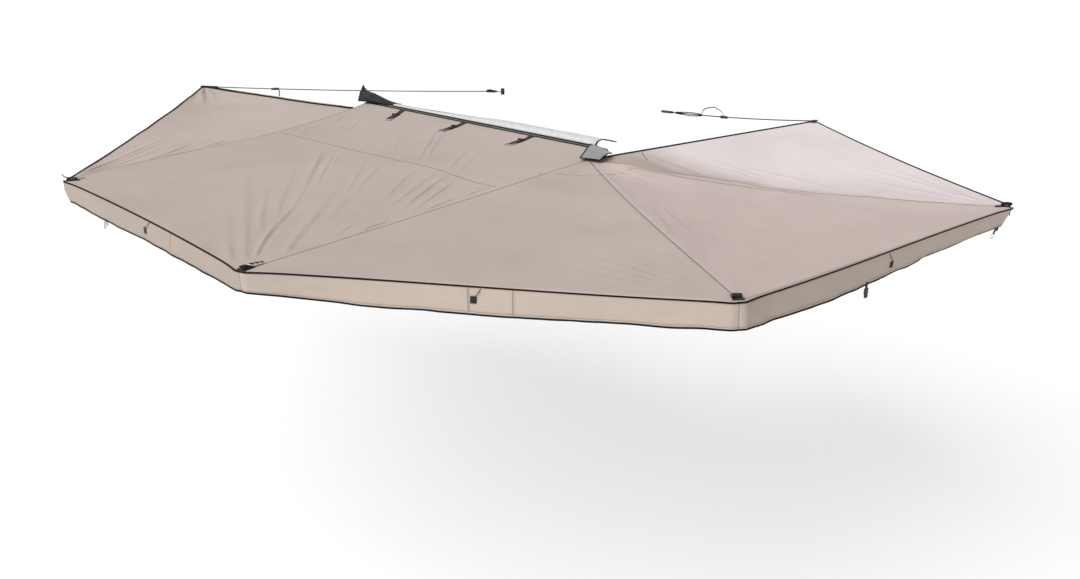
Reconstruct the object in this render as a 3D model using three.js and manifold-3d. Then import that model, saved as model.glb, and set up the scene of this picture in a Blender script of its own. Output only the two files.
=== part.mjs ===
// A vehicle side awning: four arms fan out from one king pin at the rear end of a case,
// and carry a canopy of five panels, a valance and two tie-down straps.
// Millimetres and degrees. +X runs along the case to the vehicle's front, +Y outboard, +Z up.
// Places are measured from the hub point, where the canopy's seams meet above the king pin.
// The whole awning is then moved so that the middle bracket's foot is at the origin.
import * as THREE from "three";
import { mergeVertices } from "three/addons/utils/BufferGeometryUtils.js";
import Module from "manifold-3d";

const wasm = await Module();
wasm.setup();

// The case: where the back plate runs, seen from the hub point, and its section
const plateFaceOffset = 185;
const plateStart = 62;
const plateEnd = 2412;
const plateHeight = 204;
const plateWall = 3.2;
const plateLip = 14;
const trackHeight = 15;
const trackRadius = 9;
const trackBore = 5.6;
const trackSlot = 3.4;
const railWidth = 30;
const railDepth = 9;
const railSlot = 9;
const railShares = [0.72, 0.28];

// Clearances and the overrun shared by every joint and cut
const gap = 0.3;
const overrun = 5;

// The hub: a bracket with two plates, and four knuckles stacked on the king pin
const pinRadius = 6;
const pinHeadRadius = 13;
const pinHeadHeight = 6;
const pinChamfer = 1.5;
const pinTail = 4;
const hubPlay = 1.2;
const nutAcross = 19;
const nutHeight = 10;
const hubPlate = 6;
const hubNose = 33;
const hubFootStart = 70;
const hubFootLength = 160;
const hubFootReach = 44;
const hubWeb = 6;
const hubGusset = 5;
const hubWaistShare = 0.3;
const hubBoltShares = [0.25, 0.75];
const hubNoseFrom = -10;
const hubNoseTo = 215;
const hubBoltRadius = 8;
const hubBoltHead = 5;
const knuckleRadius = 27;
const knuckleGap = 1;
const armPitch = 44;

// The arms: inverted channels, canted up a little so that the canopy is tight
const armWidth = 44;
const armHeight = 34;
const armWall = 2;
const armLip = 4;
const armCant = 1.8;
const armStart = 62;
const cheekLength = 118;
const cheekWall = 3;
const armReach = 2540;
const arms = [
  { name: "front", angle: 63.0, reachShare: 1 },
  { name: "side", angle: 105.0, reachShare: 0.92126 },
  { name: "corner", angle: 150.5, reachShare: 0.884252 },
  { name: "rear", angle: 206.4, reachShare: 0.807087 },
];

// The corner caps: a plug and an end plate on the channel, and a tongue back over the canopy's corner
const capWall = 4;
const capPlug = 9;
const tongueLength = 62;
const tongueNose = 30;
const tongueRib = 1.6;
const tongueWall = 4;

// The telescopic legs, stowed inside the arms
const groundDrop = 2010;
const legPinInset = 52;
const legPinRadius = 4;
const legPinHead = 7.5;
const legPinHeadHeight = 3;
const legAxisDrop = 17.8;
const legOuterRadius = 13;
const legInnerRadius = 10;
const legWall = 1.6;
const legEyeRadius = 11;
const legEyeLength = 46;
const legOverlap = 120;
const legRoom = 22;
const collarRadius = 15;
const collarOver = 34;
const collarNeck = 14;
const collarChamfer = 2;
const collarFlutes = 6;
const fluteRadius = 3;
const fluteDepth = 1.1;
const footRadius = 14;
const footLength = 30;

// The canopy: the two wing tips that no arm carries, and how its panels sag, fold and draw in
const frontTip = [3730, 380, 52];
const rearTip = [-240, -1580, 32];
const clothWall = 2;
const mouthRadius = 4;
const stripMargin = 2;
const stripShare = 0.2;
const caseSag = 20;
const caseSeamSag = 26;
const panelSag = 16;
const hemSag = 8;
const wingSag = 24;
const outerBow = 14;
const wingBowShare = 0.012;
const foldHeight = 15;
const foldShare = 0.55;
const foldCount = 3;
const panelSteps = 16;
const panelBands = 12;
const sideBands = 20;

// The valance's depth along each outer edge, at even steps from one corner to the next
const valanceWall = 2.4;
const valanceMargin = 11;
const valanceSteps = 20;
const valanceRows = 2;
const valanceWave = 9;
const valanceWaves = 3.5;
const valanceDepths = {
  side_valance: [84, 98, 97, 86, 72],
  corner_valance: [78, 100, 103, 100, 100],
  rear_valance: [100, 105, 98, 83, 62],
};

// The mounting brackets and their places along the back plate
const bracketWidth = 70;
const bracketWall = 5;
const bracketFoot = 84;
const bracketLeg = 96;
const bracketFillet = 12;
const bracketSlotWidth = 9;
const bracketSlotLength = 34;
const bracketSlotPitch = 40;
const bracketBoltRadius = 8;
const bracketBoltHead = 6;
const footFaceDrop = 30;
const bracketShares = { rear: 0.17, middle: 0.5, front: 0.86 };

// The case bag, open: its cover folded back, its lower flap hanging, its ends turned up
const bagWall = 3;
const coverWidth = 150;
const coverCrest = 28;
const coverCrestShare = 0.6;
const coverSteps = 20;
const coverBands = 6;
const coverTaperShare = 0.35;
const coverTaperFromShare = 0.7;
const lowerFlapHeight = 190;
const lowerFlapBelly = 26;
const pocketLength = 300;
const pocketHeight = 110;
const pocketEndHeight = 10;
const pocketWidth = 84;
const pocketOverhang = 12;
const pocketSteps = 10;
const pocketTaperShare = 0.6;
const rearFlapLift = 9;
const rearFlapDropShare = 0.7;
const rearFlap = { caseEnd: [196, -192], rear: [24, -168], tip: [-30, -34], outer: [58, 16] };
const bagStrapWidth = 38;
const bagStrapWall = 2.4;
const bagStrapHump = 12;
const bagStrapSteps = 8;
const bagBuckleLength = 44;
const bagBuckleWidth = 48;
const bagBuckleBar = 10;
const bagBuckleWall = 7;
const bagStraps = {
  front: { at: 1950, turn: 34, reach: 305 },
  middle: { at: 1288, turn: 13, reach: 206 },
  rear: { at: 657, turn: 13, reach: 206 },
};

// The tie-down straps, from the wing tips to the hooks that grip the rack
const webWidth = 25;
const webWall = 2.4;
const strapSag = 10;
const strapSteps = 12;
const sliderLength = 42;
const sliderWidth = 38;
const sliderDepth = 12;
const sliderWall = 1.6;
const hookLength = 74;
const hookWidth = 38;
const hookWire = 9;
const ties = {
  front: { tip: frontTip, hook: [1840, -770, 84], sliderShare: 0.27 },
  rear: { tip: rearTip, hook: [350, -1010, 84], sliderShare: 0.64 },
};

const looks = {
  canopy: { color: 0xbfb0a6, roughness: 0.9, metalness: 0 },
  valance: { color: 0xcbbba8, roughness: 0.9, metalness: 0 },
  bag: { color: 0x1b1c1e, roughness: 0.6, metalness: 0 },
  lining: { color: 0x969b9e, roughness: 0.75, metalness: 0 },
  webbing: { color: 0x191a1c, roughness: 0.8, metalness: 0 },
  moulding: { color: 0x1a1b1d, roughness: 0.45, metalness: 0 },
  alloy: { color: 0xb4b7ba, roughness: 0.35, metalness: 1 },
  steel: { color: 0x8f9396, roughness: 0.3, metalness: 1 },
  coated: { color: 0x2b2c2e, roughness: 0.5, metalness: 0.3 },
};
const materials = Object.fromEntries(
  Object.entries(looks).map(([name, look]) => [name, new THREE.MeshStandardMaterial(look)]),
);

// Geometry to a manifold solid and back
function solid(geometry) {
  const bare = new THREE.BufferGeometry();
  bare.setAttribute("position", geometry.getAttribute("position").clone());
  if (geometry.index) bare.setIndex(geometry.index.clone());
  const merged = mergeVertices(bare, 1e-4);
  return new wasm.Manifold(
    new wasm.Mesh({
      numProp: 3,
      vertProperties: new Float32Array(merged.attributes.position.array),
      triVerts: new Uint32Array(merged.index.array),
    }),
  );
}

function geometryOf(body) {
  const made = body.getMesh();
  const geometry = new THREE.BufferGeometry();
  geometry.setAttribute("position", new THREE.BufferAttribute(new Float32Array(made.vertProperties), 3));
  geometry.setIndex(new THREE.BufferAttribute(new Uint32Array(made.triVerts), 1));
  geometry.computeVertexNormals();
  return geometry;
}

function join(...geometries) {
  return geometryOf(geometries.map(solid).reduce((whole, part) => whole.add(part)));
}

function cut(geometry, ...tools) {
  return geometryOf(tools.map(solid).reduce((whole, tool) => whole.subtract(tool), solid(geometry)));
}

function mesh(name, geometry, look) {
  const made = new THREE.Mesh(geometry, materials[look]);
  made.name = name;
  return made;
}

// A box given by its lowest and highest corners
function block(low, high) {
  const size = high.map((value, axis) => value - low[axis]);
  return new THREE.BoxGeometry(...size).translate(...low.map((value, axis) => value + size[axis] / 2));
}

// An upright cylinder between two heights
function post(radius, low, high, sides = 20) {
  return new THREE.CylinderGeometry(radius, radius, high - low, sides)
    .rotateX(Math.PI / 2)
    .translate(0, 0, (low + high) / 2);
}

// A solid of revolution about Z from [radius, height] pairs, which run up the outside
function turned(profile, sides = 20) {
  const points = profile.map(([radius, height]) => new THREE.Vector2(radius, height));
  return new THREE.LatheGeometry(points, sides).rotateX(Math.PI / 2);
}

// A plate in the XY plane between two heights
function slab(shape, low, high) {
  const options = { depth: high - low, bevelEnabled: false, curveSegments: 10 };
  return new THREE.ExtrudeGeometry(shape, options).translate(0, 0, low);
}

// An outline in Y and Z, extruded along X between two places
function beam(shape, start, end) {
  const options = { depth: end - start, bevelEnabled: false, curveSegments: 8 };
  const turnUp = new THREE.Matrix4().set(0, 0, 1, start, 1, 0, 0, 0, 0, 1, 0, 0, 0, 0, 0, 1);
  return new THREE.ExtrudeGeometry(shape, options).applyMatrix4(turnUp);
}

function outline(points) {
  return new THREE.Shape(points.map(([x, y]) => new THREE.Vector2(x, y)));
}

// A closed sheet: the surface function's grid of points, and a second layer away from it by the wall,
// which is one vector or a function of the same two shares
function sheet(surface, across, along, wall) {
  const points = [];
  const faces = [];
  const columns = along + 1;
  const layer = (across + 1) * columns;
  for (const side of [0, 1])
    for (let i = 0; i <= across; i++)
      for (let j = 0; j <= along; j++) {
        const shares = [i / across, j / along];
        const away = typeof wall === "function" ? wall(...shares) : wall;
        points.push(...surface(...shares).map((value, axis) => value + side * away[axis]));
      }
  const at = (side, i, j) => side * layer + i * columns + j;
  const quad = (a, b, c, d) => faces.push(a, b, c, a, c, d);
  for (let i = 0; i < across; i++)
    for (let j = 0; j < along; j++) {
      quad(at(0, i, j), at(0, i + 1, j), at(0, i + 1, j + 1), at(0, i, j + 1));
      quad(at(1, i, j), at(1, i, j + 1), at(1, i + 1, j + 1), at(1, i + 1, j));
    }
  for (let i = 0; i < across; i++) {
    quad(at(0, i, 0), at(1, i, 0), at(1, i + 1, 0), at(0, i + 1, 0));
    quad(at(0, i, along), at(0, i + 1, along), at(1, i + 1, along), at(1, i, along));
  }
  for (let j = 0; j < along; j++) {
    quad(at(0, 0, j), at(0, 0, j + 1), at(1, 0, j + 1), at(1, 0, j));
    quad(at(0, across, j), at(1, across, j), at(1, across, j + 1), at(0, across, j + 1));
  }
  const geometry = new THREE.BufferGeometry();
  geometry.setAttribute("position", new THREE.BufferAttribute(new Float32Array(points), 3));
  geometry.setIndex(faces);
  if (solid(geometry).volume() > 0) return geometry;
  const turnedFaces = faces.map((_, n) => faces[n % 3 === 0 ? n + 1 : n % 3 === 1 ? n - 1 : n]);
  geometry.setIndex(turnedFaces);
  return geometry;
}

// Small helpers for points written as [x, y, z] and for shares from 0 to 1
const radians = THREE.MathUtils.degToRad;
const mix = (a, b, share) => a.map((value, axis) => value + (b[axis] - value) * share);
const raise = (point, height) => [point[0], point[1], point[2] + height];
const limit = (share) => Math.min(1, Math.max(0, share));
const smooth = (share) => limit(share) ** 2 * (3 - 2 * limit(share));
const hump = (share) => 4 * share * (1 - share);

// The heights at the hub, from the canopy's underside down
const pinTop = -clothWall - hubPlay;
const plateTop = pinTop - pinHeadHeight;
const stackTop = plateTop - hubPlate - knuckleGap / 2;
const bottomPlate = stackTop - arms.length * armPitch - hubPlate;
const plateFace = -plateFaceOffset;
const plateTopEdge = trackHeight - trackRadius;
const plateBottomEdge = plateTopEdge - plateHeight;
const boltRails = railShares.map((share) => plateBottomEdge + share * plateHeight);
const plateLength = plateEnd - plateStart;
const slope = radians(armCant);

// Each arm's level in the stack, and how far out its corner of the canopy lies
arms.forEach((arm, level) => {
  arm.top = stackTop - level * armPitch;
  arm.turn = radians(arm.angle);
  arm.reach = armReach * arm.reachShare;
  arm.corner = (arm.reach - capWall) * Math.cos(slope) - 3 * gap;
});

// Each leg hangs from its pin. The outer tubes are as long as the tallest leg needs to slide in whole.
const legPinAt = (arm) => arm.reach - legPinInset;
const legPinHeight = (arm) => arm.top + legPinAt(arm) * Math.sin(slope) - legAxisDrop * Math.cos(slope);
const legEndLength = collarNeck + 2 * gap + footLength;
const tallestLeg = Math.max(...arms.map(legPinHeight)) + groundDrop;
const legTopLength = legEyeLength + legWall + legRoom;
const legOuterLength = (tallestLeg - legEndLength + legTopLength + legOverlap) / 2;

// The back plate: a web with a sail track on top, a stiffening lip below and two bolt rails behind
function backPlate() {
  const back = plateFace - plateWall;
  const inside = back + plateWall / 2;
  const rectangle = (y1, z1, y2, z2) => outline([[y1, z1], [y2, z1], [y2, z2], [y1, z2]]);
  const web = rectangle(back, plateBottomEdge, plateFace, plateTopEdge + plateWall);
  const lip = rectangle(back - plateLip, plateBottomEdge, inside, plateBottomEdge + plateWall);
  const mouth = Math.asin(trackSlot / 2 / trackRadius);
  const opening = Math.asin(trackSlot / 2 / trackBore);
  const track = new THREE.Shape();
  track.absarc(plateFace - trackRadius, trackHeight, trackRadius, mouth, 2 * Math.PI - mouth, false);
  track.absarc(plateFace - trackRadius, trackHeight, trackBore, 2 * Math.PI - opening, opening, true);
  const rails = boltRails.map((middle) =>
    outline([
      [inside, middle - railWidth / 2],
      [inside, middle + railWidth / 2],
      [back - railDepth, middle + railWidth / 2],
      [back - railDepth, middle + railSlot / 2],
      [back - gap, middle + railSlot / 2],
      [back - gap, middle - railSlot / 2],
      [back - railDepth, middle - railSlot / 2],
      [back - railDepth, middle - railWidth / 2],
    ].reverse()),
  );
  return join(...[web, lip, track, ...rails].map((shape) => beam(shape, plateStart, plateEnd)));
}

// An angle bracket: its upright leg is bolted to the rails, its foot points inboard over a rack
const bracketFace = plateFace - plateWall - railDepth - gap;
const bracketPlace = (share) => plateStart + share * plateLength;
function mountBracket(place) {
  const footFace = -footFaceDrop;
  const legLow = footFace + bracketWall - bracketLeg;
  const shape = outline([
    [bracketFace, legLow],
    [bracketFace, footFace + bracketWall],
    [bracketFace - bracketFoot, footFace + bracketWall],
    [bracketFace - bracketFoot, footFace],
    [bracketFace - bracketWall - bracketFillet, footFace],
    [bracketFace - bracketWall, footFace - bracketFillet],
    [bracketFace - bracketWall, legLow],
  ]);
  const bolts = [-1, 1].map((side) =>
    new THREE.CylinderGeometry(bracketBoltRadius, bracketBoltRadius, bracketBoltHead + bracketWall / 2, 6)
      .translate(place + (side * bracketSlotPitch) / 2, bracketFace - bracketWall - bracketBoltHead / 2, boltRails[0]),
  );
  const half = (bracketSlotLength - bracketSlotWidth) / 2;
  const slots = [-1, 1].map((side) => {
    const slot = new THREE.Shape();
    slot.absarc(0, half, bracketSlotWidth / 2, 0, Math.PI, false);
    slot.absarc(0, -half, bracketSlotWidth / 2, Math.PI, 2 * Math.PI, false);
    return slab(slot, footFace - overrun, footFace + bracketWall + overrun)
      .translate(place + (side * bracketSlotPitch) / 2, bracketFace - bracketFoot / 2 - bracketFillet / 2, 0);
  });
  return cut(join(beam(shape, place - bracketWidth / 2, place + bracketWidth / 2), ...bolts), ...slots);
}

// The hub bracket: a top and a bottom plate that hold the king pin, joined by a web on the back plate
function hubBracket() {
  const face = plateFace + gap;
  const end = hubFootStart + hubFootLength;
  const plate = new THREE.Shape();
  plate.moveTo(hubFootStart, face);
  plate.lineTo(end, face);
  plate.lineTo(end, face + hubFootReach);
  plate.absarc(0, 0, hubNose, radians(hubNoseFrom), radians(hubNoseTo), false);
  plate.closePath();
  const plates = [plateTop - hubPlate, bottomPlate].map((low) => slab(plate, low, low + hubPlate));
  const web = block([hubFootStart, face, bottomPlate], [end, face + hubWeb, plateTop]);
  const middle = (bottomPlate + plateTop) / 2;
  const waist = hubFootReach * hubWaistShare;
  const side = outline([
    [face, bottomPlate],
    [face + hubFootReach, bottomPlate],
    [face + hubFootReach, bottomPlate + hubPlate],
    [face + waist, middle],
    [face + hubFootReach, plateTop - hubPlate],
    [face + hubFootReach, plateTop],
    [face, plateTop],
  ]);
  const gussets = [hubFootStart, end - hubGusset].map((x) => beam(side, x, x + hubGusset));
  const bolts = hubBoltShares.flatMap((share) =>
    boltRails.map((height) =>
      new THREE.CylinderGeometry(hubBoltRadius, hubBoltRadius, hubBoltHead + hubWeb, 6)
        .translate(hubFootStart + share * hubFootLength, face + hubWeb + hubBoltHead / 2 - hubWeb / 2, height),
    ),
  );
  const bore = post(pinRadius + gap, bottomPlate - overrun, plateTop + overrun);
  return cut(join(...plates, web, ...gussets, ...bolts), bore);
}

// The king pin: a low round head on the top plate, a shank through every knuckle and a tail for the nut
function kingPin() {
  const tail = bottomPlate - nutHeight - gap - pinTail;
  return turned([
    [0, tail],
    [pinRadius - pinChamfer, tail],
    [pinRadius, tail + pinChamfer],
    [pinRadius, plateTop + gap],
    [pinHeadRadius, plateTop + gap],
    [pinHeadRadius, pinTop - pinChamfer],
    [pinHeadRadius - pinChamfer, pinTop],
    [0, pinTop],
  ]);
}

function kingPinNut() {
  const radius = nutAcross / 2 / Math.cos(Math.PI / 6);
  const top = bottomPlate - gap;
  return cut(post(radius, top - nutHeight, top, 6), post(pinRadius + gap, top - nutHeight - overrun, top + overrun));
}

// An arm's knuckle: an upright barrel on the king pin, with a neck and two cheeks inside the channel
function knuckle(arm) {
  const low = arm.top - armPitch + knuckleGap;
  const inside = armWidth / 2 - armWall - gap;
  const top = -armWall - gap;
  const bottom = -armHeight + armWall + gap;
  const neck = block([0, -inside, bottom], [armStart + cheekLength, inside, top]);
  const way = block(
    [armStart, cheekWall - inside, bottom - overrun],
    [armStart + cheekLength + overrun, inside - cheekWall, top + overrun],
  );
  const canted = cut(neck, way).rotateY(-slope).translate(0, 0, arm.top);
  const barrel = post(knuckleRadius, low, arm.top, 28);
  const level = block([-knuckleRadius, -knuckleRadius, low], [knuckleRadius, knuckleRadius, arm.top]);
  const beyond = block(
    [knuckleRadius, -armWidth, low - armHeight],
    [armStart + cheekLength + overrun, armWidth, arm.top + armHeight],
  );
  const neckBody = solid(canted).intersect(solid(join(level, beyond)));
  const bore = solid(post(pinRadius + gap, low - overrun, arm.top + overrun));
  return geometryOf(solid(barrel).add(neckBody).subtract(bore));
}

// Places along an arm in its own frame: X from the king pin, Z from the top of its channel
const railEnd = (arm) => arm.reach - capWall - gap;

// An arm's rail: an inverted channel with inward lips, bored for its leg's pin
function armRail(arm) {
  const half = armWidth / 2;
  const shape = outline([
    [-half, -armHeight],
    [-half + armLip, -armHeight],
    [-half + armLip, -armHeight + armWall],
    [-half + armWall, -armHeight + armWall],
    [-half + armWall, -armWall],
    [half - armWall, -armWall],
    [half - armWall, -armHeight + armWall],
    [half - armLip, -armHeight + armWall],
    [half - armLip, -armHeight],
    [half, -armHeight],
    [half, 0],
    [-half, 0],
  ]);
  const bore = new THREE.CylinderGeometry(legPinRadius + gap, legPinRadius + gap, armWidth + overrun, 16)
    .translate(legPinAt(arm), 0, -legAxisDrop);
  return cut(beam(shape, armStart, railEnd(arm)), bore);
}

// A corner cap: a plug and an end plate for the channel, and a ribbed tongue over the canopy's corner
function cornerCap(arm) {
  const half = armWidth / 2;
  const start = arm.reach - capWall;
  const low = 2 * gap + clothWall;
  const top = low + tongueWall;
  const endPlate = block([start, -half, -armHeight], [arm.reach, half, top]);
  const plugHalf = half - armWall - gap;
  const plug = block(
    [start - capPlug, -plugHalf, -armHeight + armWall + gap],
    [start + gap, plugHalf, -armWall - gap],
  );
  const nose = arm.reach - tongueLength;
  const round = tongueNose / 2;
  const tongue = new THREE.Shape();
  tongue.moveTo(arm.reach, -half);
  tongue.lineTo(arm.reach, half);
  tongue.absarc(nose + round, 0, round, Math.PI / 2, (3 * Math.PI) / 2, false);
  tongue.closePath();
  const rib = block([nose + round, -round / 2, top - tongueRib], [arm.reach, round / 2, top + tongueRib]);
  return join(endPlate, plug, slab(tongue, low, top), rib);
}

// The pin that an arm's leg folds on
function legPin(arm) {
  const half = armWidth / 2 + gap;
  const profile = [
    [0, -half - legPinHeadHeight],
    [legPinHead, -half - legPinHeadHeight],
    [legPinHead, -half],
    [legPinRadius, -half],
    [legPinRadius, half],
    [legPinHead, half],
    [legPinHead, half + legPinHeadHeight],
    [0, half + legPinHeadHeight],
  ];
  return turned(profile, 16).rotateX(Math.PI / 2).translate(legPinAt(arm), 0, -legAxisDrop);
}

// A leg's pieces, in a frame whose +Z runs down the leg from its pin
function legOuter() {
  const tube = post(legOuterRadius, legEyeLength / 2, legOuterLength);
  const shoulder = block(
    [-legEyeRadius, -legOuterRadius, 0],
    [legEyeRadius, legOuterRadius, legEyeLength],
  );
  const eye = new THREE.CylinderGeometry(legEyeRadius, legEyeRadius, 2 * legOuterRadius, 20);
  const bore = new THREE.CylinderGeometry(legPinRadius + gap, legPinRadius + gap, 3 * legOuterRadius, 16);
  const hollow = post(legOuterRadius - legWall, legEyeLength + legWall, legOuterLength + overrun);
  return cut(join(tube, shoulder, eye), bore, hollow);
}

function legCollar() {
  const end = legOuterLength;
  const start = end - collarOver;
  const ring = turned([
    [legOuterRadius + gap, start],
    [collarRadius - collarChamfer / 2, start],
    [collarRadius, start + collarChamfer],
    [collarRadius, end + collarNeck - collarChamfer],
    [collarRadius - collarChamfer, end + collarNeck],
    [legInnerRadius + gap, end + collarNeck],
    [legInnerRadius + gap, end + gap],
    [legOuterRadius + gap, end + gap],
    [legOuterRadius + gap, start],
  ], 16);
  const away = collarRadius + fluteRadius - fluteDepth;
  const flutes = Array.from({ length: collarFlutes }, (_, n) => {
    const turn = (2 * Math.PI * n) / collarFlutes;
    return post(fluteRadius, start + collarNeck / 2, end + collarNeck / 2, 6)
      .translate(away * Math.cos(turn), away * Math.sin(turn), 0);
  });
  return cut(ring, ...flutes);
}

function legInner(stroke) {
  const end = legOuterLength + collarNeck + gap;
  const top = legOuterLength - stroke - legOverlap;
  return cut(post(legInnerRadius, top, end), post(legInnerRadius - legWall, top - overrun, end - overrun));
}

function legFoot() {
  const start = legOuterLength + collarNeck + 2 * gap;
  return turned([
    [0, start],
    [legInnerRadius, start],
    [footRadius, start + footLength / 3],
    [footRadius, start + (footLength * 2) / 3],
    [footRadius / 2, start + footLength],
    [0, start + footLength],
  ]);
}

// How far an arm's leg slides out to reach the ground straight below its pin
function legStroke(arm) {
  return legPinHeight(arm) + groundDrop - legOuterLength - legEndLength;
}

// A spoke is a line on the canopy's top, by share of its length from the hub's mouth.
// Over an arm it runs straight from the hub until it lies on the arm for its last step.
function armSpoke(arm) {
  const knee = 1 - 1 / panelSteps;
  const radiusAt = (share) => mouthRadius + share * (arm.corner - mouthRadius);
  const lying = (share) =>
    arm.top + radiusAt(share) * Math.tan(slope) + (gap + clothWall) / Math.cos(slope);
  const spoke = (share, aside) => {
    const radius = radiusAt(share);
    return [
      radius * Math.cos(arm.turn) - aside * Math.sin(arm.turn),
      radius * Math.sin(arm.turn) + aside * Math.cos(arm.turn),
      share > knee ? lying(share) : (lying(knee) * share) / knee,
    ];
  };
  return Object.assign(spoke, { strips: 1 });
}

// The case edge leaves the hub's mouth, meets the sail track one step on and follows it to the front
const caseKnee = [hubFootStart, plateFace + gap, trackHeight];
const frontCorner = [plateEnd, plateFace + gap, trackHeight];
function caseSpoke(share) {
  const knee = 1 / panelSteps;
  if (share < knee) return mix([0, -mouthRadius, 0], caseKnee, share / knee);
  return mix(caseKnee, frontCorner, (share - knee) / (1 - knee));
}
caseSpoke.strips = 0;

function rearEdgeSpoke(share) {
  const mouth = mouthRadius / Math.hypot(rearTip[0], rearTip[1]);
  return mix([rearTip[0] * mouth, rearTip[1] * mouth, 0], rearTip, share);
}
rearEdgeSpoke.strips = 0;

// The canopy lies flat over each arm, in a strip a little wider than the arm that narrows to the hub
const stripAt = (share) => 2 * gap + (armWidth / 2 + stripMargin) * limit(share / stripShare);

// A bay of the canopy between two spokes: a flat strip over each arm, and open cloth that sags between.
// Its own open surface, by share across, is kept with it for the edges that hang on it.
function bay(first, second, { bands, sag, hem = 0, bow = 0, folds = () => 0, seams = [gap, gap] }) {
  const open = (u, share) => {
    const point = mix(first(u, stripAt(u)), second(u, -stripAt(u)), share);
    const drawn = 1 - (bow * hump(share) * u ** 2) / Math.hypot(point[0], point[1]);
    const dip = hump(share) * (sag * Math.sin(Math.PI * u) + hem * u ** 2);
    return [point[0] * drawn, point[1] * drawn, point[2] - dip + folds(u, share)];
  };
  const last = bands - second.strips;
  const surface = (u, v) => {
    const band = v * bands;
    if (band < first.strips) return mix(first(u, seams[0]), open(u, 0), band);
    if (band > last) return mix(open(u, 1), second(u, -seams[1]), band - last);
    return open(u, (band - first.strips) / (last - first.strips));
  };
  return Object.assign(surface, { open });
}

// Broad folds that fan out from the outer corner at share 0, strongest near it and gone at its edges
function cornerFolds(u, share) {
  const away = Math.hypot(1 - u, share) / foldShare;
  const turn = Math.atan2(share, 1 - u) / (Math.PI / 2);
  return foldHeight * (1 - limit(away)) * hump(turn) * Math.sin(foldCount * Math.PI * turn);
}

const [frontSpoke, sideSpoke, cornerSpoke, rearSpoke] = arms.map(armSpoke);
const caseBay = bay(caseSpoke, frontSpoke, {
  bands: sideBands / 2,
  sag: caseSag,
  hem: caseSeamSag,
  seams: [gap, 0],
});
const sideBay = bay(frontSpoke, sideSpoke, {
  bands: sideBands / 2,
  sag: panelSag,
  bow: outerBow,
  folds: (u, share) => cornerFolds(u, 1 - share),
  seams: [0, gap],
});
const cornerBay = bay(sideSpoke, cornerSpoke, {
  bands: panelBands,
  sag: panelSag,
  hem: hemSag,
  bow: outerBow,
  folds: cornerFolds,
});
const rearBay = bay(cornerSpoke, rearSpoke, { bands: panelBands, sag: panelSag, hem: hemSag, bow: outerBow });
const rearWing = bay(rearSpoke, rearEdgeSpoke, { bands: panelBands, sag: wingSag, hem: hemSag, bow: outerBow });

// The side panel spans two bays, with no seam over the front arm
function sidePanel(u, v) {
  return v <= 1 / 2 ? caseBay(u, 2 * v) : sideBay(u, 2 * v - 1);
}

// The front wing runs from the seam at the case bay's end to its tip, its edges drawn in a little
function frontWing(u, v) {
  const drawnIn = wingBowShare * hump(u);
  const start = caseBay.open(1, drawnIn + v * (1 - 2 * drawnIn));
  const run = Math.hypot(frontTip[0] - start[0], frontTip[1] - start[1]);
  const [near, far] = [(2 * gap) / run, 1 - mouthRadius / run];
  const point = mix(start, frontTip, near + u * (far - near));
  return raise(point, -wingSag * hump(u) * hump(v));
}

const panels = {
  canopy_side_panel: { surface: sidePanel, bands: sideBands },
  canopy_corner_panel: { surface: cornerBay, bands: panelBands },
  canopy_rear_panel: { surface: rearBay, bands: panelBands },
  canopy_rear_wing: { surface: rearWing, bands: panelBands },
  canopy_front_wing: { surface: frontWing, bands: panelBands },
};
const valances = { side_valance: sideBay, corner_valance: cornerBay, rear_valance: rearBay };

// A valance hangs just outside a bay's outer edge, clear of the arms' ends, and waves towards its hem
function valance({ open }, depths) {
  const [start, end] = [open(1, 0), open(1, 1)];
  const run = Math.hypot(end[0] - start[0], end[1] - start[1]);
  const outward = [(end[1] - start[1]) / run, (start[0] - end[0]) / run];
  const depthAt = (share) => {
    const place = share * (depths.length - 1);
    const step = Math.min(depths.length - 2, Math.floor(place));
    return depths[step] + (depths[step + 1] - depths[step]) * (place - step);
  };
  const margin = valanceMargin / run;
  const surface = (across, along) => {
    const share = margin + along * (1 - 2 * margin);
    const top = open(1, share);
    const wave = valanceWave * across * Math.sin(2 * Math.PI * valanceWaves * share) * hump(share);
    const away = 2 * gap + valanceWave * across + wave;
    return [top[0] + outward[0] * away, top[1] + outward[1] * away, top[2] - across * depthAt(share)];
  };
  return sheet(surface, valanceRows, valanceSteps, [outward[0] * valanceWall, outward[1] * valanceWall, 0]);
}

// The cover flap: it rises from the sail track, arches over and lies back inboard
const trackTop = trackHeight + trackRadius;
const bagSeat = trackTop + gap + bagWall;
const coverEnd = plateEnd - pocketLength - 2 * gap;
function coverSurface(along, across) {
  const from = coverTaperFromShare;
  const taper = 1 - coverTaperShare * smooth((along - from) / (1 - from));
  return [
    hubFootStart + along * (coverEnd - hubFootStart),
    plateFace - trackRadius - across * coverWidth * taper,
    bagSeat + coverCrest * taper * Math.sin(Math.PI * across ** coverCrestShare),
  ];
}

function lowerFlapSurface(along, across) {
  const belly = lowerFlapBelly * Math.sin(Math.PI * across);
  return [
    plateStart + along * plateLength,
    plateFace - across * plateWall + belly,
    plateBottomEdge - gap - across * lowerFlapHeight,
  ];
}

// The front pocket: the bag's end turned up on the track, high at the front and tapering back to the cover
function pocketHeightAt(along, across) {
  const size = (1 - along) ** (1 / pocketTaperShare);
  return (pocketEndHeight + pocketHeight * size) * Math.sin(Math.PI * across) ** pocketTaperShare;
}

function pocketSurface(along, across) {
  return [
    plateEnd + pocketOverhang - along * (pocketLength + pocketOverhang),
    plateFace - trackRadius - across * pocketWidth,
    bagSeat + pocketHeightAt(along, across),
  ];
}

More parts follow.
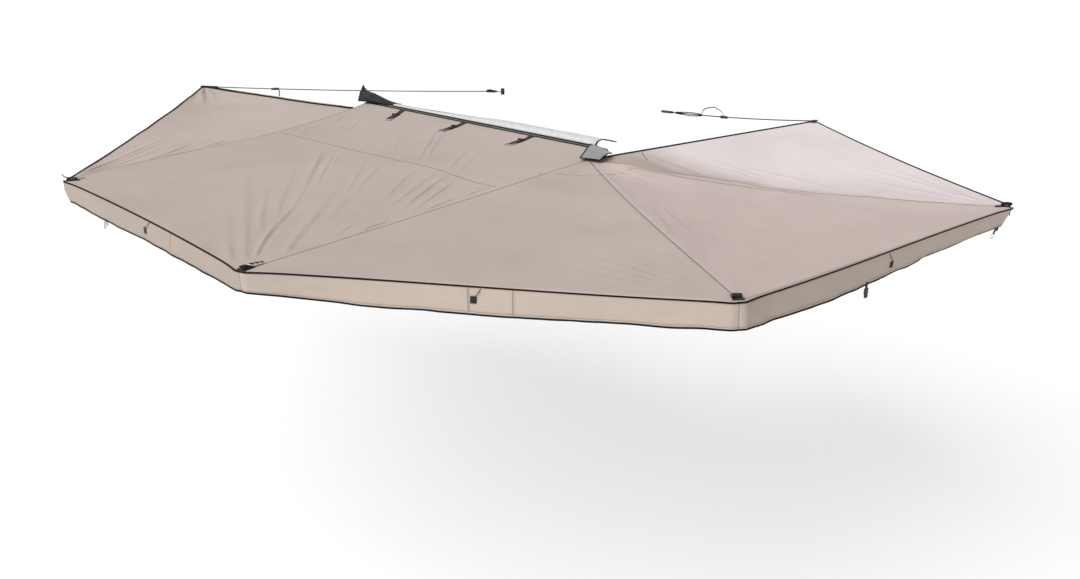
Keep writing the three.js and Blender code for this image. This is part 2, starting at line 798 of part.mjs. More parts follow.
// The rear flap: four corners in plan, lying over the hub and sewn to the cover at the track
function rearFlapSurface(along, across) {
  const { caseEnd, rear, tip, outer } = rearFlap;
  const near = mix(rear, caseEnd, along);
  const far = mix(tip, outer, along);
  const [x, y] = mix(near, far, across);
  return [x, y, bagSeat + rearFlapLift * Math.sin(Math.PI * across ** rearFlapDropShare)];
}

// A bag strap with its buckle, thrown back over the canopy from the sail track
function bagStrap({ at, turn, reach }) {
  const height = trackHeight + bagStrapWall + gap;
  const [strapHalf, buckleHalf] = [bagStrapWidth / 2, bagBuckleWidth / 2];
  const surface = (across, along) => [
    (2 * across - 1) * strapHalf,
    along * reach,
    height + bagStrapHump * hump(along) ** 2,
  ];
  const buckle = block(
    [-buckleHalf, reach - bagBuckleLength / 2, height - bagStrapWall],
    [buckleHalf, reach + bagBuckleLength / 2, height - bagStrapWall + bagBuckleWall],
  );
  const window = block(
    [bagBuckleBar - buckleHalf, reach + bagBuckleBar / 2, height - overrun],
    [buckleHalf - bagBuckleBar, reach + bagBuckleLength / 2 - bagBuckleBar / 2, height + bagBuckleWall + overrun],
  );
  const strap = sheet(surface, 1, bagStrapSteps, [0, 0, -bagStrapWall]);
  const lean = radians(turn);
  return cut(join(strap, buckle), window)
    .rotateZ(lean)
    .translate(at, plateFace + 2 * gap + strapHalf * Math.sin(lean), 0);
}

// A tie-down strap's line, from on top of the wing tip to its hook's eye
function tieLine({ tip, hook }) {
  const start = new THREE.Vector3(...raise(tip, 2 * gap + webWall / 2));
  const end = new THREE.Vector3(...hook);
  start.addScaledVector(end.clone().sub(start).normalize(), mouthRadius);
  const middle = start.clone().lerp(end, 1 / 2);
  middle.z -= 2 * strapSag;
  return new THREE.QuadraticBezierCurve3(start, middle, end);
}

// A flat webbing of eight sides along a line, its width level
function webbing(line) {
  const [w, t] = [webWidth / 2, webWall / 2];
  const section = outline([
    [-t, -w + t],
    [-t / 2, -w],
    [t / 2, -w],
    [t, -w + t],
    [t, w - t],
    [t / 2, w],
    [-t / 2, w],
    [-t, w - t],
  ]);
  return new THREE.ExtrudeGeometry(section, { steps: strapSteps, bevelEnabled: false, extrudePath: line });
}

// The matrix that puts a piece drawn along X at a share of a line, level across
function alongLine(line, share) {
  const forward = line.getTangent(share);
  const left = new THREE.Vector3(0, 0, 1).cross(forward).normalize();
  const up = forward.clone().cross(left);
  return new THREE.Matrix4().makeBasis(forward, left, up).setPosition(line.getPoint(share));
}

// A slider: a frame that the webbing passes through
function slider(line, share) {
  const [l, w, d] = [sliderLength / 2, sliderWidth / 2, sliderDepth / 2];
  const way = [webWidth / 2 + 2 * gap, webWall + 2 * gap];
  const frame = block([-l, -w, -d], [l, w, d]);
  const slot = block([-l - overrun, -way[0], -way[1]], [l + overrun, way[0], way[1]]);
  const waist = [-1, 1].map((side) =>
    new THREE.CylinderGeometry(sliderDepth, sliderDepth, sliderWidth + overrun, 16)
      .translate(0, 0, side * (sliderDepth + way[1] + sliderWall)),
  );
  return cut(frame, slot, ...waist).applyMatrix4(alongLine(line, share));
}

// A hook: a flat oval ring beyond the webbing's end, drawn along X
function hook(line) {
  const oval = (length, width) => {
    const shape = new THREE.Path();
    const half = (length - width) / 2;
    shape.absarc(half, 0, width / 2, -Math.PI / 2, Math.PI / 2, false);
    shape.absarc(-half, 0, width / 2, Math.PI / 2, (3 * Math.PI) / 2, false);
    return shape;
  };
  const ring = new THREE.Shape(oval(hookLength, hookWidth).getPoints(8));
  ring.holes.push(oval(hookLength - 2 * hookWire, hookWidth - 2 * hookWire));
  return slab(ring, -hookWire / 2, hookWire / 2)
    .translate(hookLength / 2 + gap, 0, 0)
    .applyMatrix4(alongLine(line, 1));
}

function armGroup(arm) {
  const group = new THREE.Group();
  group.rotation.z = arm.turn;
  group.add(mesh(`${arm.name}_arm_knuckle`, knuckle(arm), "coated"));
  const along = new THREE.Group();
  along.position.z = arm.top;
  along.rotation.y = -slope;
  along.add(mesh(`${arm.name}_arm_rail`, armRail(arm), "alloy"));
  along.add(mesh(`${arm.name}_corner_cap`, cornerCap(arm), "moulding"));
  along.add(mesh(`${arm.name}_leg_pin`, legPin(arm), "steel"));
  const leg = new THREE.Group();
  leg.position.set(legPinAt(arm), 0, -legAxisDrop);
  leg.rotation.y = -Math.PI / 2;
  leg.add(mesh(`${arm.name}_leg_outer`, legOuter(), "alloy"));
  leg.add(mesh(`${arm.name}_leg_collar`, legCollar(), "moulding"));
  leg.add(mesh(`${arm.name}_leg_inner`, legInner(legStroke(arm)), "alloy"));
  leg.add(mesh(`${arm.name}_leg_foot`, legFoot(), "moulding"));
  along.add(leg);
  group.add(along);
  return group;
}

function caseGroup() {
  const group = new THREE.Group();
  group.add(mesh("back_plate", backPlate(), "alloy"));
  for (const [name, share] of Object.entries(bracketShares))
    group.add(mesh(`${name}_mount_bracket`, mountBracket(bracketPlace(share)), "coated"));
  group.add(mesh("hub_bracket", hubBracket(), "coated"));
  group.add(mesh("king_pin", kingPin(), "steel"));
  group.add(mesh("king_pin_nut", kingPinNut(), "steel"));
  const wall = [0, 0, -bagWall];
  const pocketWall = (along, across) => [0, 0, -bagWall - pocketHeightAt(along, across)];
  const cover = sheet(coverSurface, coverSteps, coverBands, wall);
  const lowerFlap = sheet(lowerFlapSurface, coverSteps, coverBands, [0, -bagWall, 0]);
  const pocket = sheet(pocketSurface, pocketSteps, pocketSteps, pocketWall);
  group.add(mesh("bag_cover_flap", cover, "lining"));
  group.add(mesh("bag_lower_flap", lowerFlap, "bag"));
  group.add(mesh("bag_front_pocket", pocket, "bag"));
  group.add(mesh("bag_rear_flap", sheet(rearFlapSurface, coverBands, coverBands, wall), "lining"));
  for (const [name, strap] of Object.entries(bagStraps))
    group.add(mesh(`bag_strap_${name}`, bagStrap(strap), "webbing"));
  return group;
}

function canopyGroup() {
  const group = new THREE.Group();
  for (const [name, { surface, bands }] of Object.entries(panels))
    group.add(mesh(name, sheet(surface, panelSteps, bands, [0, 0, -clothWall]), "canopy"));
  for (const [name, edge] of Object.entries(valances))
    group.add(mesh(name, valance(edge, valanceDepths[name]), "valance"));
  return group;
}

function tieGroup(name, tie) {
  const group = new THREE.Group();
  const line = tieLine(tie);
  group.add(mesh(`${name}_tie_strap`, webbing(line), "webbing"));
  group.add(mesh(`${name}_tie_slider`, slider(line, tie.sliderShare), "moulding"));
  group.add(mesh(`${name}_tie_hook`, hook(line), "steel"));
  return group;
}

const awning = new THREE.Group();
awning.add(caseGroup(), ...arms.map(armGroup), canopyGroup());
for (const [name, tie] of Object.entries(ties)) awning.add(tieGroup(name, tie));
awning.position.set(-bracketPlace(bracketShares.middle), bracketFoot / 2 - bracketFace, footFaceDrop);

const part = new THREE.Group();
part.add(awning);
export default part;
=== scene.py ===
"""A vehicle side awning, opened out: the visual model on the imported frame, in the frame's own metres."""
import math

import bmesh
import bpy
import numpy as np
from mathutils import Matrix, Vector

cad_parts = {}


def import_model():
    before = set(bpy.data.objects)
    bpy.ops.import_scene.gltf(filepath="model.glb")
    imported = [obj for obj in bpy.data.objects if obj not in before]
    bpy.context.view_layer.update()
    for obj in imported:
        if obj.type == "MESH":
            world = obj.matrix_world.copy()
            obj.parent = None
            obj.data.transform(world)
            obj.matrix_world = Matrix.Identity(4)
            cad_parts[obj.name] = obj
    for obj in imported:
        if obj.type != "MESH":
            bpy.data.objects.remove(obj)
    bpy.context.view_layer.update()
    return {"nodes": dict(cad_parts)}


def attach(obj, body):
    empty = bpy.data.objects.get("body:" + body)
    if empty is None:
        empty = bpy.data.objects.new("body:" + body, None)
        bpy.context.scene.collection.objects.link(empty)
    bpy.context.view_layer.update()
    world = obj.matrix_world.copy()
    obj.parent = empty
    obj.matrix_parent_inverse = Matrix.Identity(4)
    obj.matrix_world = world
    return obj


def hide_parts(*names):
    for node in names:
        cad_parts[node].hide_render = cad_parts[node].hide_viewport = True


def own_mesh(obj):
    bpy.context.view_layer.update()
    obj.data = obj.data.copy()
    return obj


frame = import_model()
cad = frame["nodes"]
detail = 1.0

# The hub point, where the canopy's seams meet above the king pin. Shapes are drawn from it.
HUB = np.array([-1.237, 0.2395, 0.030])
GAP = 0.0003
CLOTH = 0.002
CANT = math.radians(1.8)
PITCH = 0.044
STACK_TOP = -0.0157
MOUTH = 0.004
KNEE = 15 / 16
ARMS = {
    "front": (63.0, 2.540),
    "side": (105.0, 2.540 * 0.92126),
    "corner": (150.5, 2.540 * 0.884252),
    "rear": (206.4, 2.540 * 0.807087),
}
ORDER = list(ARMS)
FRONT_TIP = np.array([3.730, 0.380, 0.052])
REAR_TIP = np.array([-0.240, -1.580, 0.032])
PLATE = -0.185
TRACK = 0.015
TRACK_RADIUS = 0.009
PLATE_START = 0.062
PLATE_END = 2.412
BAG_SEAT = TRACK + TRACK_RADIUS + GAP + 0.003


def arm_turn(name):
    return math.radians(ARMS[name][0])


def arm_top(name):
    return STACK_TOP - PITCH * ORDER.index(name)


def arm_corner(name):
    return (ARMS[name][1] - 0.004) * math.cos(CANT) - 3 * GAP


def linked(name, data):
    """A new object of that data, in the scene."""
    made = bpy.data.objects.new(name, data)
    bpy.context.scene.collection.objects.link(made)
    return made


# Camera: its place from the hub, its turns, and its focal length in pixels of a picture that wide

CAMERA_PLACE = (-4.3886, 4.0325, 1.2367)
CAMERA_TURNS = (-40.07, -18.02, -1.06)
FOCAL_PIXELS, PICTURE_WIDTH = 1167.8, 1080
SENSOR_WIDTH = 36


def make_camera():
    yaw, pitch, roll = (math.radians(turn) for turn in CAMERA_TURNS)
    forward = Vector((math.cos(yaw) * math.cos(pitch), math.sin(yaw) * math.cos(pitch), math.sin(pitch)))
    level = forward.cross(Vector((0, 0, 1))).normalized()
    above = level.cross(forward)
    right = math.cos(roll) * level + math.sin(roll) * above
    up = -math.sin(roll) * level + math.cos(roll) * above
    data = bpy.data.cameras.new("camera")
    data.sensor_fit = "HORIZONTAL"
    data.sensor_width = SENSOR_WIDTH
    data.lens = FOCAL_PIXELS / PICTURE_WIDTH * SENSOR_WIDTH
    data.clip_start = 0.05
    data.clip_end = 400
    camera = linked("camera", data)
    turn = Matrix((right, up, -forward)).transposed().to_4x4()
    camera.matrix_world = Matrix.Translation(Vector(CAMERA_PLACE) + Vector(HUB)) @ turn
    bpy.context.scene.camera = camera


make_camera()

# Small numbers and mesh makers


def evenly(count):
    return np.linspace(0, 1, count)


def limit(s):
    return np.clip(s, 0.0, 1.0)


def smooth(s):
    s = limit(s)
    return s * s * (3 - 2 * s)


def hump(s):
    return 4 * s * (1 - s)


def mix(a, b, s):
    return a + (b - a) * s


def unit(v):
    v = np.asarray(v, float)
    return v / np.maximum(np.linalg.norm(v, axis=-1, keepdims=True), 1e-12)


def noise(x, y, cell, seed=0):
    """Smooth noise from -1 to 1 that is the same for the same place."""
    gx, gy = np.asarray(x, float) / cell, np.asarray(y, float) / cell
    ix, iy = np.floor(gx).astype(np.int64), np.floor(gy).astype(np.int64)
    fx, fy = gx - ix, gy - iy
    fx, fy = fx * fx * fx * (fx * (fx * 6 - 15) + 10), fy * fy * fy * (fy * (fy * 6 - 15) + 10)

    def value(i, j):
        n = (i * 374761393 + j * 668265263 + seed * 974634777) & 0xFFFFFFFF
        n = ((n ^ (n >> 13)) * 1274126177) & 0xFFFFFFFF
        return ((n ^ (n >> 16)) & 0xFFFF) / 32767.5 - 1

    low = value(ix, iy) * (1 - fx) + value(ix + 1, iy) * fx
    high = value(ix, iy + 1) * (1 - fx) + value(ix + 1, iy + 1) * fx
    return low * (1 - fy) + high * fy


def new_object(name, points, faces, uv, material, smooth_shade=True):
    """A mesh object from hub-frame points; uv is one pair in metres for each corner of each face."""
    mesh = bpy.data.meshes.new(name)
    mesh.from_pydata((np.asarray(points, float) + HUB).tolist(), [], [list(map(int, f)) for f in faces])
    layer = mesh.uv_layers.new(name="UVMap")
    layer.data.foreach_set("uv", np.asarray(uv, np.float32).ravel())
    mesh.polygons.foreach_set("use_smooth", [smooth_shade] * len(mesh.polygons))
    mesh.materials.append(material)
    mesh.update()
    return linked(name, mesh)


def grid_faces(rows, columns):
    i, j = np.meshgrid(np.arange(rows - 1), np.arange(columns - 1), indexing="ij")
    a = (i * columns + j).ravel()
    return np.stack([a, a + columns, a + columns + 1, a + 1], 1)


# The width and length of each sheet's cut, as grid_object measures them
CUTS = {}


def grid_object(name, points, material, wall, offset=-1.0, flip=False):
    """A sheet from a grid of points, with its uv in metres along the cloth, made solid by a modifier."""
    points = np.asarray(points, float)
    rows, columns = points.shape[:2]
    down = np.linalg.norm(np.diff(points, axis=0), axis=2).mean(axis=1)
    across = np.linalg.norm(np.diff(points, axis=1), axis=2)
    v = np.concatenate([[0], np.cumsum(down)])
    widths = np.concatenate([np.zeros((rows, 1)), np.cumsum(across, axis=1)], axis=1)
    u = widths - widths[:, -1:] / 2
    longest = np.linalg.norm(np.diff(points, axis=0), axis=2).sum(axis=0).max()
    CUTS[name] = (float(widths.max()), float(longest))
    uv = np.stack([u, np.broadcast_to(v[:, None], u.shape)], -1).reshape(-1, 2)
    faces = grid_faces(rows, columns)
    if flip:
        faces = faces[:, ::-1]
    made = new_object(name, points.reshape(-1, 3), faces, uv[faces.ravel()], material)
    solid = made.modifiers.new("thickness", "SOLIDIFY")
    solid.thickness = wall
    solid.offset = offset
    solid.use_even_offset = False
    return made


def ring_section(radius, sides=8):
    turn = np.arange(sides) * 2 * math.pi / sides
    return np.stack([radius * np.cos(turn), radius * np.sin(turn)], 1)


def band_section(width, wall, edge):
    """A flat band's outline with softened edges, as side and up pairs."""
    w, t = width / 2, wall / 2
    return np.array([
        [-w + edge, -t], [-w * 0.33, -t], [w * 0.33, -t], [w - edge, -t], [w - edge * 0.3, -t * 0.7], [w, 0],
        [w - edge * 0.3, t * 0.7], [w - edge, t], [w * 0.33, t], [-w * 0.33, t], [-w + edge, t],
        [-w + edge * 0.3, t * 0.7], [-w, 0], [-w + edge * 0.3, -t * 0.7],
    ])


def sweep(name, path, section, material, up=(0, 0, 1), closed=False):
    """A solid of that section along the path, its ends capped, or closed on itself."""
    path, section = np.asarray(path, float), np.asarray(section, float)
    if closed:
        tangent = unit(np.roll(path, -1, axis=0) - np.roll(path, 1, axis=0))
    else:
        tangent = unit(np.gradient(path, axis=0))
    side = unit(np.cross(tangent, np.broadcast_to(np.asarray(up, float), path.shape)))
    above = unit(np.cross(side, tangent))
    n, m = len(path), len(section)
    points = path[:, None] + section[None, :, :1] * side[:, None] + section[None, :, 1:] * above[:, None]
    around = np.concatenate([[0], np.cumsum(np.linalg.norm(section - np.roll(section, -1, axis=0), axis=1))])
    steps = np.linalg.norm(np.diff(path, axis=0), axis=1)
    along = np.concatenate([[0], np.cumsum(steps)])
    faces, uv = [], []
    for i in range(n if closed else n - 1):
        k = (i + 1) % n
        v0 = along[i]
        v1 = along[i + 1] if i + 1 < n else along[i] + np.linalg.norm(path[0] - path[-1])
        for j in range(m):
            q = (j + 1) % m
            faces.append([i * m + j, k * m + j, k * m + q, i * m + q])
            uv += [(around[j], v0), (around[j], v1), (around[j + 1], v1), (around[j + 1], v0)]
    if not closed:
        faces.append(list(range(m)))
        faces.append([(n - 1) * m + j for j in range(m - 1, -1, -1)])
        uv += [*map(tuple, section), *map(tuple, section[::-1])]
    made = new_object(name, points.reshape(-1, 3), faces, uv, material)
    if not closed:
        for cap in list(made.data.polygons)[-2:]:
            cap.use_smooth = False
    fix_normals(made)
    return made


def band(name, path, width, wall, edge, look="binding", up=(0, 0, 1), closed=False):
    """A flat band along the path, its wide side facing up."""
    return sweep(name, path, band_section(width, wall, edge), looks[look], up, closed)


def fix_normals(made):
    bm = bmesh.new()
    bm.from_mesh(made.data)
    bmesh.ops.recalc_face_normals(bm, faces=bm.faces)
    bm.to_mesh(made.data)
    bm.free()


def join(name, objects):
    """One object from several, so that small pieces that belong together are one piece."""
    bm = bmesh.new()
    materials = []
    for o in objects:
        for slot in o.data.materials:
            if slot not in materials:
                materials.append(slot)
    for o in objects:
        before = len(bm.faces)
        bm.from_mesh(o.data)
        bm.faces.ensure_lookup_table()
        places = [materials.index(slot) for slot in o.data.materials]
        for f in list(bm.faces)[before:]:
            f.material_index = places[f.material_index]
    mesh = bpy.data.meshes.new(name)
    bm.to_mesh(mesh)
    bm.free()
    for slot in materials:
        mesh.materials.append(slot)
    for o in objects:
        old = o.data
        bpy.data.objects.remove(o)
        bpy.data.meshes.remove(old)
    return linked(name, mesh)


def resample(path, step):
    path = np.asarray(path, float)
    along = np.concatenate([[0], np.cumsum(np.linalg.norm(np.diff(path, axis=0), axis=1))])
    count = max(3, int(round(along[-1] / step)) + 1)
    at = np.linspace(0, along[-1], count)
    return np.stack([np.interp(at, along, path[:, k]) for k in range(3)], 1)


def curve_through(points, count=40):
    """A smooth curve through a few points, by Catmull-Rom."""
    p = np.asarray(points, float)
    p = np.concatenate([[2 * p[0] - p[1]], p, [2 * p[-1] - p[-2]]])
    out = []
    spans = len(p) - 3
    for k in range(spans):
        a, b, c, d = p[k : k + 4]
        t = np.linspace(0, 1, max(2, count // spans), endpoint=k == spans - 1)[:, None]
        bend, twist = 2 * a - 5 * b + 4 * c - d, 3 * b - a - 3 * c + d
        out.append(0.5 * (2 * b + (c - a) * t + bend * t**2 + twist * t**3))
    return np.concatenate(out)


def local_box(low, high, bevel, material):
    """A bevelled bar, for joining into a buckle or clip."""
    bm = bmesh.new()
    bmesh.ops.create_cube(bm, size=1)
    low, high = np.asarray(low, float), np.asarray(high, float)
    for v in bm.verts:
        v.co = Vector((low + high) / 2 + np.array(v.co) * (high - low))
    bmesh.ops.bevel(bm, geom=list(bm.edges), offset=bevel, segments=3, affect="EDGES", profile=0.6)
    mesh = bpy.data.meshes.new("bar")
    bm.to_mesh(mesh)
    bm.free()
    mesh.uv_layers.new(name="UVMap")
    mesh.polygons.foreach_set("use_smooth", [True] * len(mesh.polygons))
    mesh.materials.append(material)
    return linked("bar", mesh)


def place(made, origin, forward, up=(0, 0, 1)):
    """Moves a piece drawn round the origin, X forward and Z up, to a hub-frame place."""
    x = Vector(forward).normalized()
    z = Vector(up)
    y = z.cross(x).normalized()
    z = x.cross(y)
    turn = Matrix((x, y, z)).transposed().to_4x4()
    made.data.transform(Matrix.Translation(Vector(np.asarray(origin, float) + HUB)) @ turn)
    return made


# Materials


class Nodes:
    """A short way to write a material's nodes."""

    def __init__(self, name, **shader):
        self.material = bpy.data.materials.new(name)
        self.material.use_nodes = True
        self.tree = self.material.node_tree
        self.shader = self.tree.nodes["Principled BSDF"]
        for socket, value in shader.items():
            self.shader.inputs[socket.replace("_", " ")].default_value = value

    def add(self, kind, inputs=None, **settings):
        node = self.tree.nodes.new(kind)
        for key, value in settings.items():
            setattr(node, key, value)
        for key, value in (inputs or {}).items():
            if isinstance(value, bpy.types.NodeSocket):
                self.tree.links.new(value, node.inputs[key])
            else:
                node.inputs[key].default_value = value
        return node

    def link(self, socket, name):
        self.tree.links.new(socket, self.shader.inputs[name])

    def finished(self, colour, roughness, normal):
        """Links the three to the shader and gives the material."""
        self.link(colour, "Base Color")
        self.link(roughness, "Roughness")
        self.link(normal, "Normal")
        return self.material

    def placed(self, kind, scale=(1, 1, 1), turn=0.0):
        """Places on the piece: its "UV" in metres along the cloth, or its "Object" ones."""
        place_in = self.add("ShaderNodeTexCoord").outputs[kind]
        values = {"Vector": place_in, "Scale": scale, "Rotation": (0, 0, turn)}
        return self.add("ShaderNodeMapping", values).outputs["Vector"]

    def noise(self, vector, scale, detail, roughness=0.5, distortion=0.0):
        values = {"Vector": vector, "Scale": scale, "Detail": detail, "Roughness": roughness}
        return self.add("ShaderNodeTexNoise", {**values, "Distortion": distortion}).outputs["Fac"]

    def spots(self, scale, detail, roughness=0.5, distortion=0.0, stretch=(1, 1, 1)):
        """Noise by the piece's own places."""
        return self.noise(self.placed("Object", stretch), scale, detail, roughness, distortion)

    def wave(self, vector, scale, direction, distortion=0.0, detail=0.0):
        values = {"Vector": vector, "Scale": scale, "Distortion": distortion, "Detail": detail}
        return self.add("ShaderNodeTexWave", values, bands_direction=direction).outputs["Fac"]

    def ramp(self, fac, stops):
        node = self.add("ShaderNodeValToRGB", {"Fac": fac})
        ramp = node.color_ramp
        while len(ramp.elements) < len(stops):
            ramp.elements.new(0.5)
        for element, (at, colour) in zip(ramp.elements, stops):
            element.position = at
            element.color = (*colour, 1)
        return node.outputs["Color"]

    def range(self, value, low, high, start, end):
        values = {"Value": value, "From Min": start, "From Max": end, "To Min": low, "To Max": high}
        return self.add("ShaderNodeMapRange", values).outputs["Result"]

    def math(self, kind, a, b=0.0):
        return self.add("ShaderNodeMath", {0: a, 1: b}, operation=kind).outputs[0]

    def blend(self, fac, under, colour, kind="MIX"):
        """A plain colour laid over another, as far as the factor says."""
        inputs = {0: fac, 6: under, 7: (*colour, 1)}
        return self.add("ShaderNodeMix", inputs, data_type="RGBA", blend_type=kind).outputs[2]

    def bump(self, height, distance, strength, normal=None):
        values = {"Height": height, "Distance": distance, "Strength": strength}
        if normal is not None:
            values["Normal"] = normal
        return self.add("ShaderNodeBump", values).outputs["Normal"]


def srgb(r, g, b):
    def one(c):
        c /= 255
        return c / 12.92 if c <= 0.04045 else ((c + 0.055) / 1.055) ** 2.4

    return (one(r), one(g), one(b))


def shade(colour, factor):
    return tuple(c * factor for c in colour)


CANVAS_ROUGHNESS = 0.86


def canvas(name, colour, painted_shade_by_hub=False):
    """Coated ripstop canvas: a plain weave with a coarser grid, slubs, faint creases and dust, with painted
    shade along its folds and, on the rear wing, near the hub.
    """
    n = Nodes(name, Roughness=CANVAS_ROUGHNESS, Sheen_Weight=0.12, Sheen_Roughness=0.5,
              Specular_IOR_Level=0.28)
    n.shader.inputs["Sheen Tint"].default_value = (*colour, 1)
    uv = n.placed("UV")
    weave = n.math("MAXIMUM", n.wave(uv, 420, "X", 1.2, 1.0), n.wave(uv, 420, "Y", 1.2, 1.0))
    ribs = n.math("MAXIMUM", *(n.math("POWER", n.wave(uv, 31, way), 22.0) for way in "XY"))
    slub = n.noise(n.placed("UV", (60, 900, 1)), 1.0, 3, 0.6)
    patchy = n.spots(9.0, 5, 0.6, 0.8)
    cloudy = n.spots(1.7, 4, 0.55, 0.4)
    look = n.ramp(cloudy, [(0.3, shade(colour, 0.93)), (0.5, colour), (0.72, shade(colour, 1.05))])
    look = n.blend(n.range(patchy, 0.0, 0.16, 0.45, 0.8), look, shade(colour, 0.80))
    look = n.blend(n.range(slub, 0.0, 0.13, 0.3, 0.8), look, shade(colour, 0.78))
    look = n.blend(n.math("MULTIPLY", ribs, 0.10), look, shade(colour, 0.74))
    # Painted shade, kept on the points: darker along the folds' lines and beside the rear arm
    folds = n.add("ShaderNodeAttribute", attribute_name="fold_painted_shade").outputs["Fac"]
    look = n.blend(n.math("MULTIPLY", folds, 0.75), look, (0.56, 0.51, 0.47), "MULTIPLY")
    # Painted shade: near the hub the rear wing is darkened back to the panels' colour, for the fold beside the
    # rear arm
    if painted_shade_by_hub:
        place_in = n.add("ShaderNodeSeparateXYZ", {"Vector": n.placed("Object")})
        low, high = (y + float(HUB[1]) for y in (PAINTED_SHADE_TO, PAINTED_SHADE_FROM))
        near = n.range(place_in.outputs["Y"], 0.0, 1.0, low, high)
        look = n.blend(near, look, HUB_PAINTED_SHADE, "MULTIPLY")
    rough = n.range(patchy, CANVAS_ROUGHNESS - 0.06, CANVAS_ROUGHNESS + 0.06, 0.3, 0.7)
    woven = n.bump(weave, 0.00018, 0.5, n.bump(n.spots(26.0, 4, 0.62, 1.6), 0.0016, 0.55))
    return n.finished(look, rough, n.bump(ribs, 0.00015, 0.6, woven))


def webbing(name, colour, roughness=0.72, sheen=0.10, gloss=0.28):
    """Woven webbing: ribs across it, fine warp threads along it, a little fuzz and dust."""
    n = Nodes(name, Roughness=roughness, Sheen_Weight=sheen, Sheen_Roughness=0.45, Specular_IOR_Level=gloss)
    uv = n.placed("UV")
    ribs = n.math("MULTIPLY", n.wave(uv, 190, "Y", 0.6, 1.0), n.wave(uv, 260, "X", 0.4, 1.0))
    herring = n.wave(n.placed("UV", turn=0.7), 120, "X", 0.5, 1.0)
    fuzz, dust = n.spots(900.0, 2, 0.6), n.spots(22.0, 4, 0.6, 0.5)
    look = n.ramp(herring, [(0.15, shade(colour, 0.55)), (0.85, shade(colour, 1.35))])
    look = n.blend(n.range(dust, 0.0, 0.35, 0.45, 0.85), look, shade(colour, 2.2))
    look = n.blend(n.range(fuzz, 0.0, 0.3, 0.55, 0.8), look, shade(colour, 2.6))
    rough = n.range(dust, roughness - 0.08, roughness + 0.12, 0.3, 0.7)
    return n.finished(look, rough, n.bump(herring, 0.0003, 0.5, n.bump(ribs, 0.0005, 0.8)))


def coated_cloth(name, colour, roughness, gloss):
    """Coated oxford cloth: a basket weave under a film, soft creases with painted shade and highlight, and
    scuffs.
    """
    n = Nodes(name, Roughness=roughness, Specular_IOR_Level=gloss, Coat_Weight=0.12, Coat_Roughness=0.42)
    uv = n.placed("UV")
    weave = n.math("MULTIPLY", n.wave(uv, 160, "X", 0.8, 1.0), n.wave(uv, 160, "Y", 0.8, 1.0))
    crease, scuff = n.spots(18.0, 5, 0.62, 2.2), n.spots(30.0, 5, 0.7, 0.6, (1, 6, 1))
    # Painted shade and highlight: the creases' hollows darker and their crests lighter, by the noise that
    # bumps them
    look = n.ramp(crease, [(0.3, shade(colour, 0.82)), (0.6, colour), (0.85, shade(colour, 1.2))])
    look = n.blend(n.range(scuff, 0.0, 0.4, 0.58, 0.85), look, shade(colour, 1.8))
    look = n.blend(n.math("MULTIPLY", weave, 0.16), look, shade(colour, 0.6))
    rough = n.range(scuff, roughness - 0.08, roughness + 0.14, 0.35, 0.75)
    return n.finished(look, rough, n.bump(weave, 0.0004, 0.5, n.bump(crease, 0.004, 0.6)))


def seam_cloth(name, colour, thread_and_shade, rows, wide):
    """A lapped seam: canvas with stitch rows in grooves, their dark thread partly painted shade. Its uv runs
    round and along it.
    """
    n = Nodes(name, Roughness=0.85, Specular_IOR_Level=0.25)
    uv = n.placed("UV")
    split = n.add("ShaderNodeSeparateXYZ", {"Vector": uv})
    groove = None
    for row in rows:
        away = n.math("ABSOLUTE", n.math("SUBTRACT", split.outputs["X"], row))
        near = n.range(away, 1.0, 0.0, wide * 0.5, wide * 1.2)
        groove = near if groove is None else n.math("MAXIMUM", groove, near)
    stitch = n.math("MULTIPLY", groove, n.range(n.wave(uv, 42, "Y"), 0.72, 1.0, 0.25, 0.45))
    weave = n.math("MAXIMUM", n.wave(uv, 420, "X", 1.2, 1.0), n.wave(uv, 420, "Y", 1.2, 1.0))
    cloudy = n.spots(5.0, 4, 0.55, 0.4)
    look = n.ramp(cloudy, [(0.3, shade(colour, 0.94)), (0.7, shade(colour, 1.04))])
    pucker = n.bump(n.noise(n.placed("UV", (40, 90, 1)), 1.0, 2, 0.5), 0.0008, 0.7)
    woven = n.bump(weave, 0.00018, 0.4, pucker)
    rough = n.range(cloudy, 0.80, 0.90, 0.3, 0.7)
    # The thread colour in the grooves: stitching, and on the canopy's seams painted shade along the seam's
    # edge as well
    return n.finished(n.blend(stitch, look, thread_and_shade), rough, n.bump(groove, -0.0012, 0.9, woven))


def brushed(name, colour, roughness, stretch):
    """Extruded, anodised alloy: fine die lines along it, handling marks and a few scratches."""
    n = Nodes(name, Metallic=1.0, Roughness=roughness)
    lines, marks = n.spots(300.0, 3, 0.6, stretch=stretch), n.spots(6.0, 5, 0.6, 0.7)
    scratch = n.spots(55.0, 6, 0.75, 1.4, tuple(s * 0.4 + 0.2 for s in stretch))
    look = n.ramp(lines, [(0.3, shade(colour, 0.9)), (0.7, shade(colour, 1.06))])
    look = n.blend(n.range(marks, 0.0, 0.3, 0.5, 0.8), look, shade(colour, 0.75))
    look = n.blend(n.range(scratch, 0.0, 0.5, 0.66, 0.74), look, shade(colour, 1.25))
    rough = n.math("ADD", n.range(marks, -0.05, 0.09, 0.3, 0.7), roughness)
    rough = n.math("ADD", rough, n.range(lines, -0.04, 0.04, 0.3, 0.7))
    return n.finished(look, rough, n.bump(scratch, 0.0002, 0.35, n.bump(lines, 0.00006, 0.5)))


